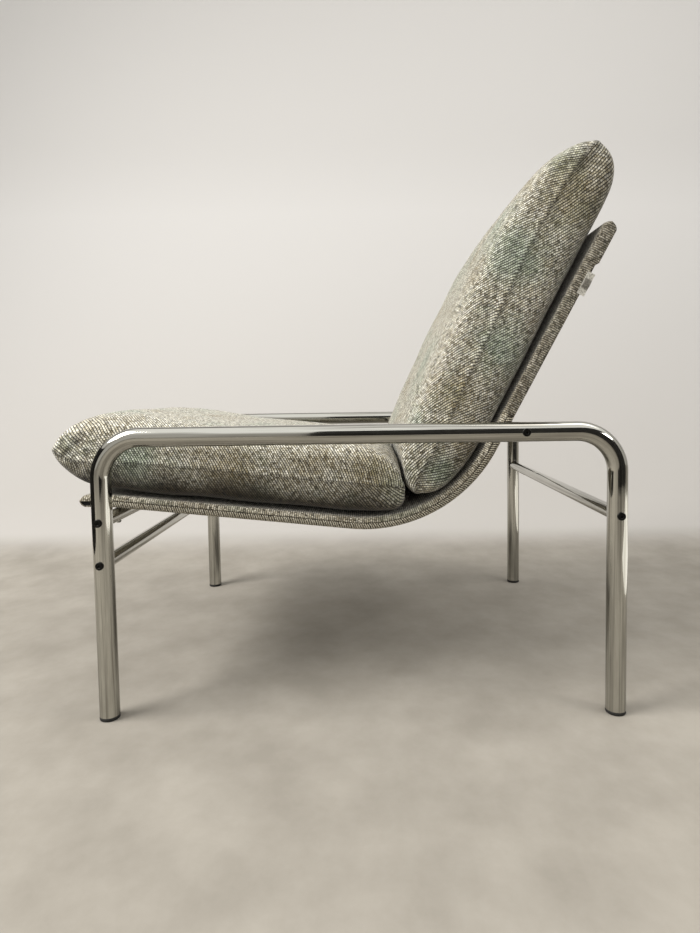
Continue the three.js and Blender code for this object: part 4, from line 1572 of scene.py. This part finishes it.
def make_cushions(finishes: Finishes, line: SlingLine) -> list[Cushion]:
    """Makes both cushions, drawn in the side view on the sling's rest surface.

    Args:
        finishes: All materials.
        line: The sling's line.

    Returns:
        The seat cushion and the back cushion.
    """
    seat = Cushion(
        name="seat_cushion_cloth", node="seat_cushion", body=SEAT_BODY, finishes=finishes, line=line,
        origin=line.seat_origin, along=line.seat_forward, up=line.seat_up, side=-1,
        over=[(-84, 55), (-73, 81), (-52, 102), (-26, 115), (-1, 119), (58, 118), (148, 118), (227, 120),
              (296, 124), (359, 126), (404, 123), (430, 115), (450, 102), (463, 84), (467, 66)],
        under=[(-84, 55), (-82, 31), (-73, 15), (-59, 9), (-29, 2.4), (0, 0.3), (120, 0.3), (240, 0.3),
               (362, 0.3), (394, 4), (424, 14), (448, 30), (463, 48), (467, 66)],
        edge_seam=[(-84, 55), (0, 52), (324, 53), (357, 51), (390, 46), (410, 46), (443, 53), (467, 66)],
        tilt=34.0, darkened=1.0, seed=2.0,
        folds=(((437, 52), (427, 66), 4.5, 4.5), ((427, 66), (407, 88), 4.5, 5), ((424, 50), (419, 62), 3, 4),
               ((405, 51), (398, 64), 2.5, 4), ((448, 57), (440, 72), 2, 4), ((419, 44), (412, 32), 2.5, 4),
               ((396, 44), (386, 34), 2, 4)))
    back = Cushion(
        name="back_cushion_cloth", node="back_cushion", body=BACK_BODY, finishes=finishes, line=line,
        origin=line.back_origin, along=line.back_upward, up=line.back_forward, side=1,
        over=[(-119, 58), (-117, 75), (-104, 94), (-85, 112), (-55, 125), (-21, 128), (28, 132), (98, 136),
              (177, 140), (247, 141), (316, 139), (346, 135), (376, 131), (406, 124), (432, 113), (454, 97),
              (469, 79), (474, 61)],
        under=[(-119, 58), (-105, 34), (-86, 19), (-43, 4.8), (0, 0.3), (120, 0.3), (240, 0.3), (366, 0.3),
               (404, 2), (434, 8.5), (457, 21), (470, 40), (474, 61)],
        edge_seam=[(-119, 58), (-108, 65), (-86, 67), (-29, 66), (100, 72), (315, 83), (371, 81), (444, 72),
                   (474, 61)],
        tilt=-52.0, darkened=0.45, seed=9.0,
        folds=(((436, 62), (404, 72), 3, 5), ((448, 66), (440, 84), 2.5, 4), ((425, 70), (414, 92), 2, 4)))
    return [seat, back]


# Studio


@dataclass
class Studio:
    """Pale floor that sweeps up into a paler backdrop, soft room light and the camera. Sizes in metres."""

    near_edge: float = 9.0
    half_width: float = 24.0
    sweep_start: float = -0.45
    sweep_radius: float = 1.9
    wall_height: float = 6.0
    lamp_colour: str = "#FFFCF8"
    card_foot: float = 0.01
    card_heights: tuple[float, float] = (0.8, 2.2)
    room_low: str = "#B4B1AB"
    room_high: str = "#FFFEFB"
    room_strength: float = 1.3
    camera_place: Point = (1.13352, 0.0134, 0.4608)
    camera_turn: Point = (86.738, 0.8656, 90.3155)
    lens: float = 22.922
    shift: tuple[float, float] = (-0.01442, -0.04027)

    def build(self) -> None:
        """Builds the studio."""
        self.sweep()
        self.lamp("window", (0.9, -1.9, 2.2), 1.3, 98, (0.0, 0.1, 0.4))
        self.lamp("backdrop_wash", (0.2, 1.5, 2.9), 1.6, 19, (-2.3, 1.3, 0.8))
        self.lamp("floor_patch", (0.75, 1.25, 0.9), 0.35, 6, (0.75, 1.25, 0.0))
        # Dark cards that only polished metal shows: painted dark reflections on the chrome.
        dark = MouldedRubber("dark_card_cloth").build()
        side, room = ((-1.5, -1.3), (1.0, -1.3)), ((2.2, -0.22), (2.2, 1.5), (1.0, 2.7))
        for word, route, top in zip(("side", "room"), (side, room), self.card_heights):
            points = [(x, y, z) for x, y in route for z in (self.card_foot, top)]
            self.card(f"dark_card_{word}", points, dark)
        # A glowing card that only polished metal shows: a painted highlight line on the tubes.
        self.card("glowing_reflection_card", [(x, y, 0.004) for x in (-0.4, 1.0) for y in (0.95, 2.4)], GlowingCard().build())
        self.room_light()
        self.camera()

    def sweep(self) -> None:
        """Builds the floor that curves up into the backdrop."""
        radius = self.sweep_radius
        line = [(self.near_edge, 0.0), (1.0, 0.0), (0.2, 0.0)]
        line += [(self.sweep_start - radius * math.sin(angle), radius * (1 - math.cos(angle)))
                 for angle in np.linspace(0, QUARTER, 33)]
        line.append((self.sweep_start - radius, self.wall_height))
        points = [(x, y, z) for x, z in line for y in (-self.half_width, self.half_width)]
        self.sheet("studio_sweep", points, StudioPaint().build())

    def sheet(self, name: str, points: list[Point], finish: bpy.types.Material) -> Piece:
        """Builds one sheet of the studio.

        Args:
            name: The sheet's name.
            points: Its points in metres, in pairs across it.
            finish: Its material.

        Returns:
            The sheet.
        """
        faces = [(i, i + 2, i + 3, i + 1) for i in range(0, len(points) - 2, 2)]
        sheet = make_piece(name, np.array(points) / MM, faces)
        sheet.data.materials.append(finish)
        return sheet

    def card(self, name: str, points: list[Point], finish: bpy.types.Material) -> None:
        """Sets up a card beside the picture, which only polished metal shows: a painted reflection."""
        card = self.sheet(name, points, finish)
        card.visible_camera = card.visible_diffuse = card.visible_shadow = False

    def lamp(self, name: str, place: Point, size: float, power: float, aim: Point) -> None:
        """Adds one square soft lamp.

        Args:
            name: The lamp's name.
            place: Where it stands.
            size: Its side.
            power: Its power in watts.
            aim: The place that it faces.
        """
        data = bpy.data.lights.new(name, "AREA")
        data.shape = "SQUARE"
        data.size = size
        data.energy = power
        data.color = linear(self.lamp_colour)[:3]
        lamp = bpy.data.objects.new(name, data)
        lamp.location = place
        lamp.rotation_euler = (Vector(aim) - Vector(place)).to_track_quat("-Z", "Y").to_euler()
        bpy.context.collection.objects.link(lamp)

    def room_light(self) -> None:
        """Makes the room light: a bright ceiling over dimmer pale walls."""
        world = bpy.data.worlds.new("room_light")
        world.use_nodes = True
        tree = world.node_tree
        tree.nodes.clear()
        way = add_node(tree, "TexCoord", {}, "Generated")
        upward = add_node(tree, "SeparateXYZ", {0: way}, 2)
        high = add_node(tree, "MapRange", {"Value": upward, 1: 0.3, 2: 0.75}, interpolation_type="SMOOTHSTEP")
        pale = add_node(tree, "Mix", {0: high, 6: linear(self.room_low), 7: linear(self.room_high)}, 2,
                        data_type="RGBA")
        light = add_node(tree, "Background", {"Color": pale, "Strength": self.room_strength})
        add_node(tree, "OutputWorld", {"Surface": light})
        bpy.context.scene.world = world

    def camera(self) -> None:
        """Sets the camera where the photograph was taken from."""
        data = bpy.data.cameras.new("camera")
        data.lens = self.lens
        data.shift_x, data.shift_y = self.shift
        data.clip_end = 50
        camera = bpy.data.objects.new("camera", data)
        x, y, z = self.camera_place
        camera.location = (x, y + LAYOUT.middle_y * MM, z)
        camera.rotation_euler = [math.radians(angle) for angle in self.camera_turn]
        bpy.context.collection.objects.link(camera)
        bpy.context.scene.camera = camera


def dress_solids(finishes: Finishes) -> None:
    """Gives every solid that still shows its own finish."""
    for entry in frame["record"]["subparts"]:
        finishes.dress(frame["nodes"][entry["node"]], Slot(entry["material_slot"]))


def main() -> None:
    """Builds the chair and the studio."""
    logging.basicConfig(level=logging.INFO, format="%(message)s")
    finishes = Finishes()
    line = SlingLine()
    dress_solids(finishes)
    SteelFrame(finishes).build()
    Sling(finishes, line).build()
    for cushion in make_cushions(finishes, line):
        cushion.build()
    Studio().build()
    bpy.context.scene.view_settings.view_transform = "Standard"


if __name__ == "__main__":
    main()
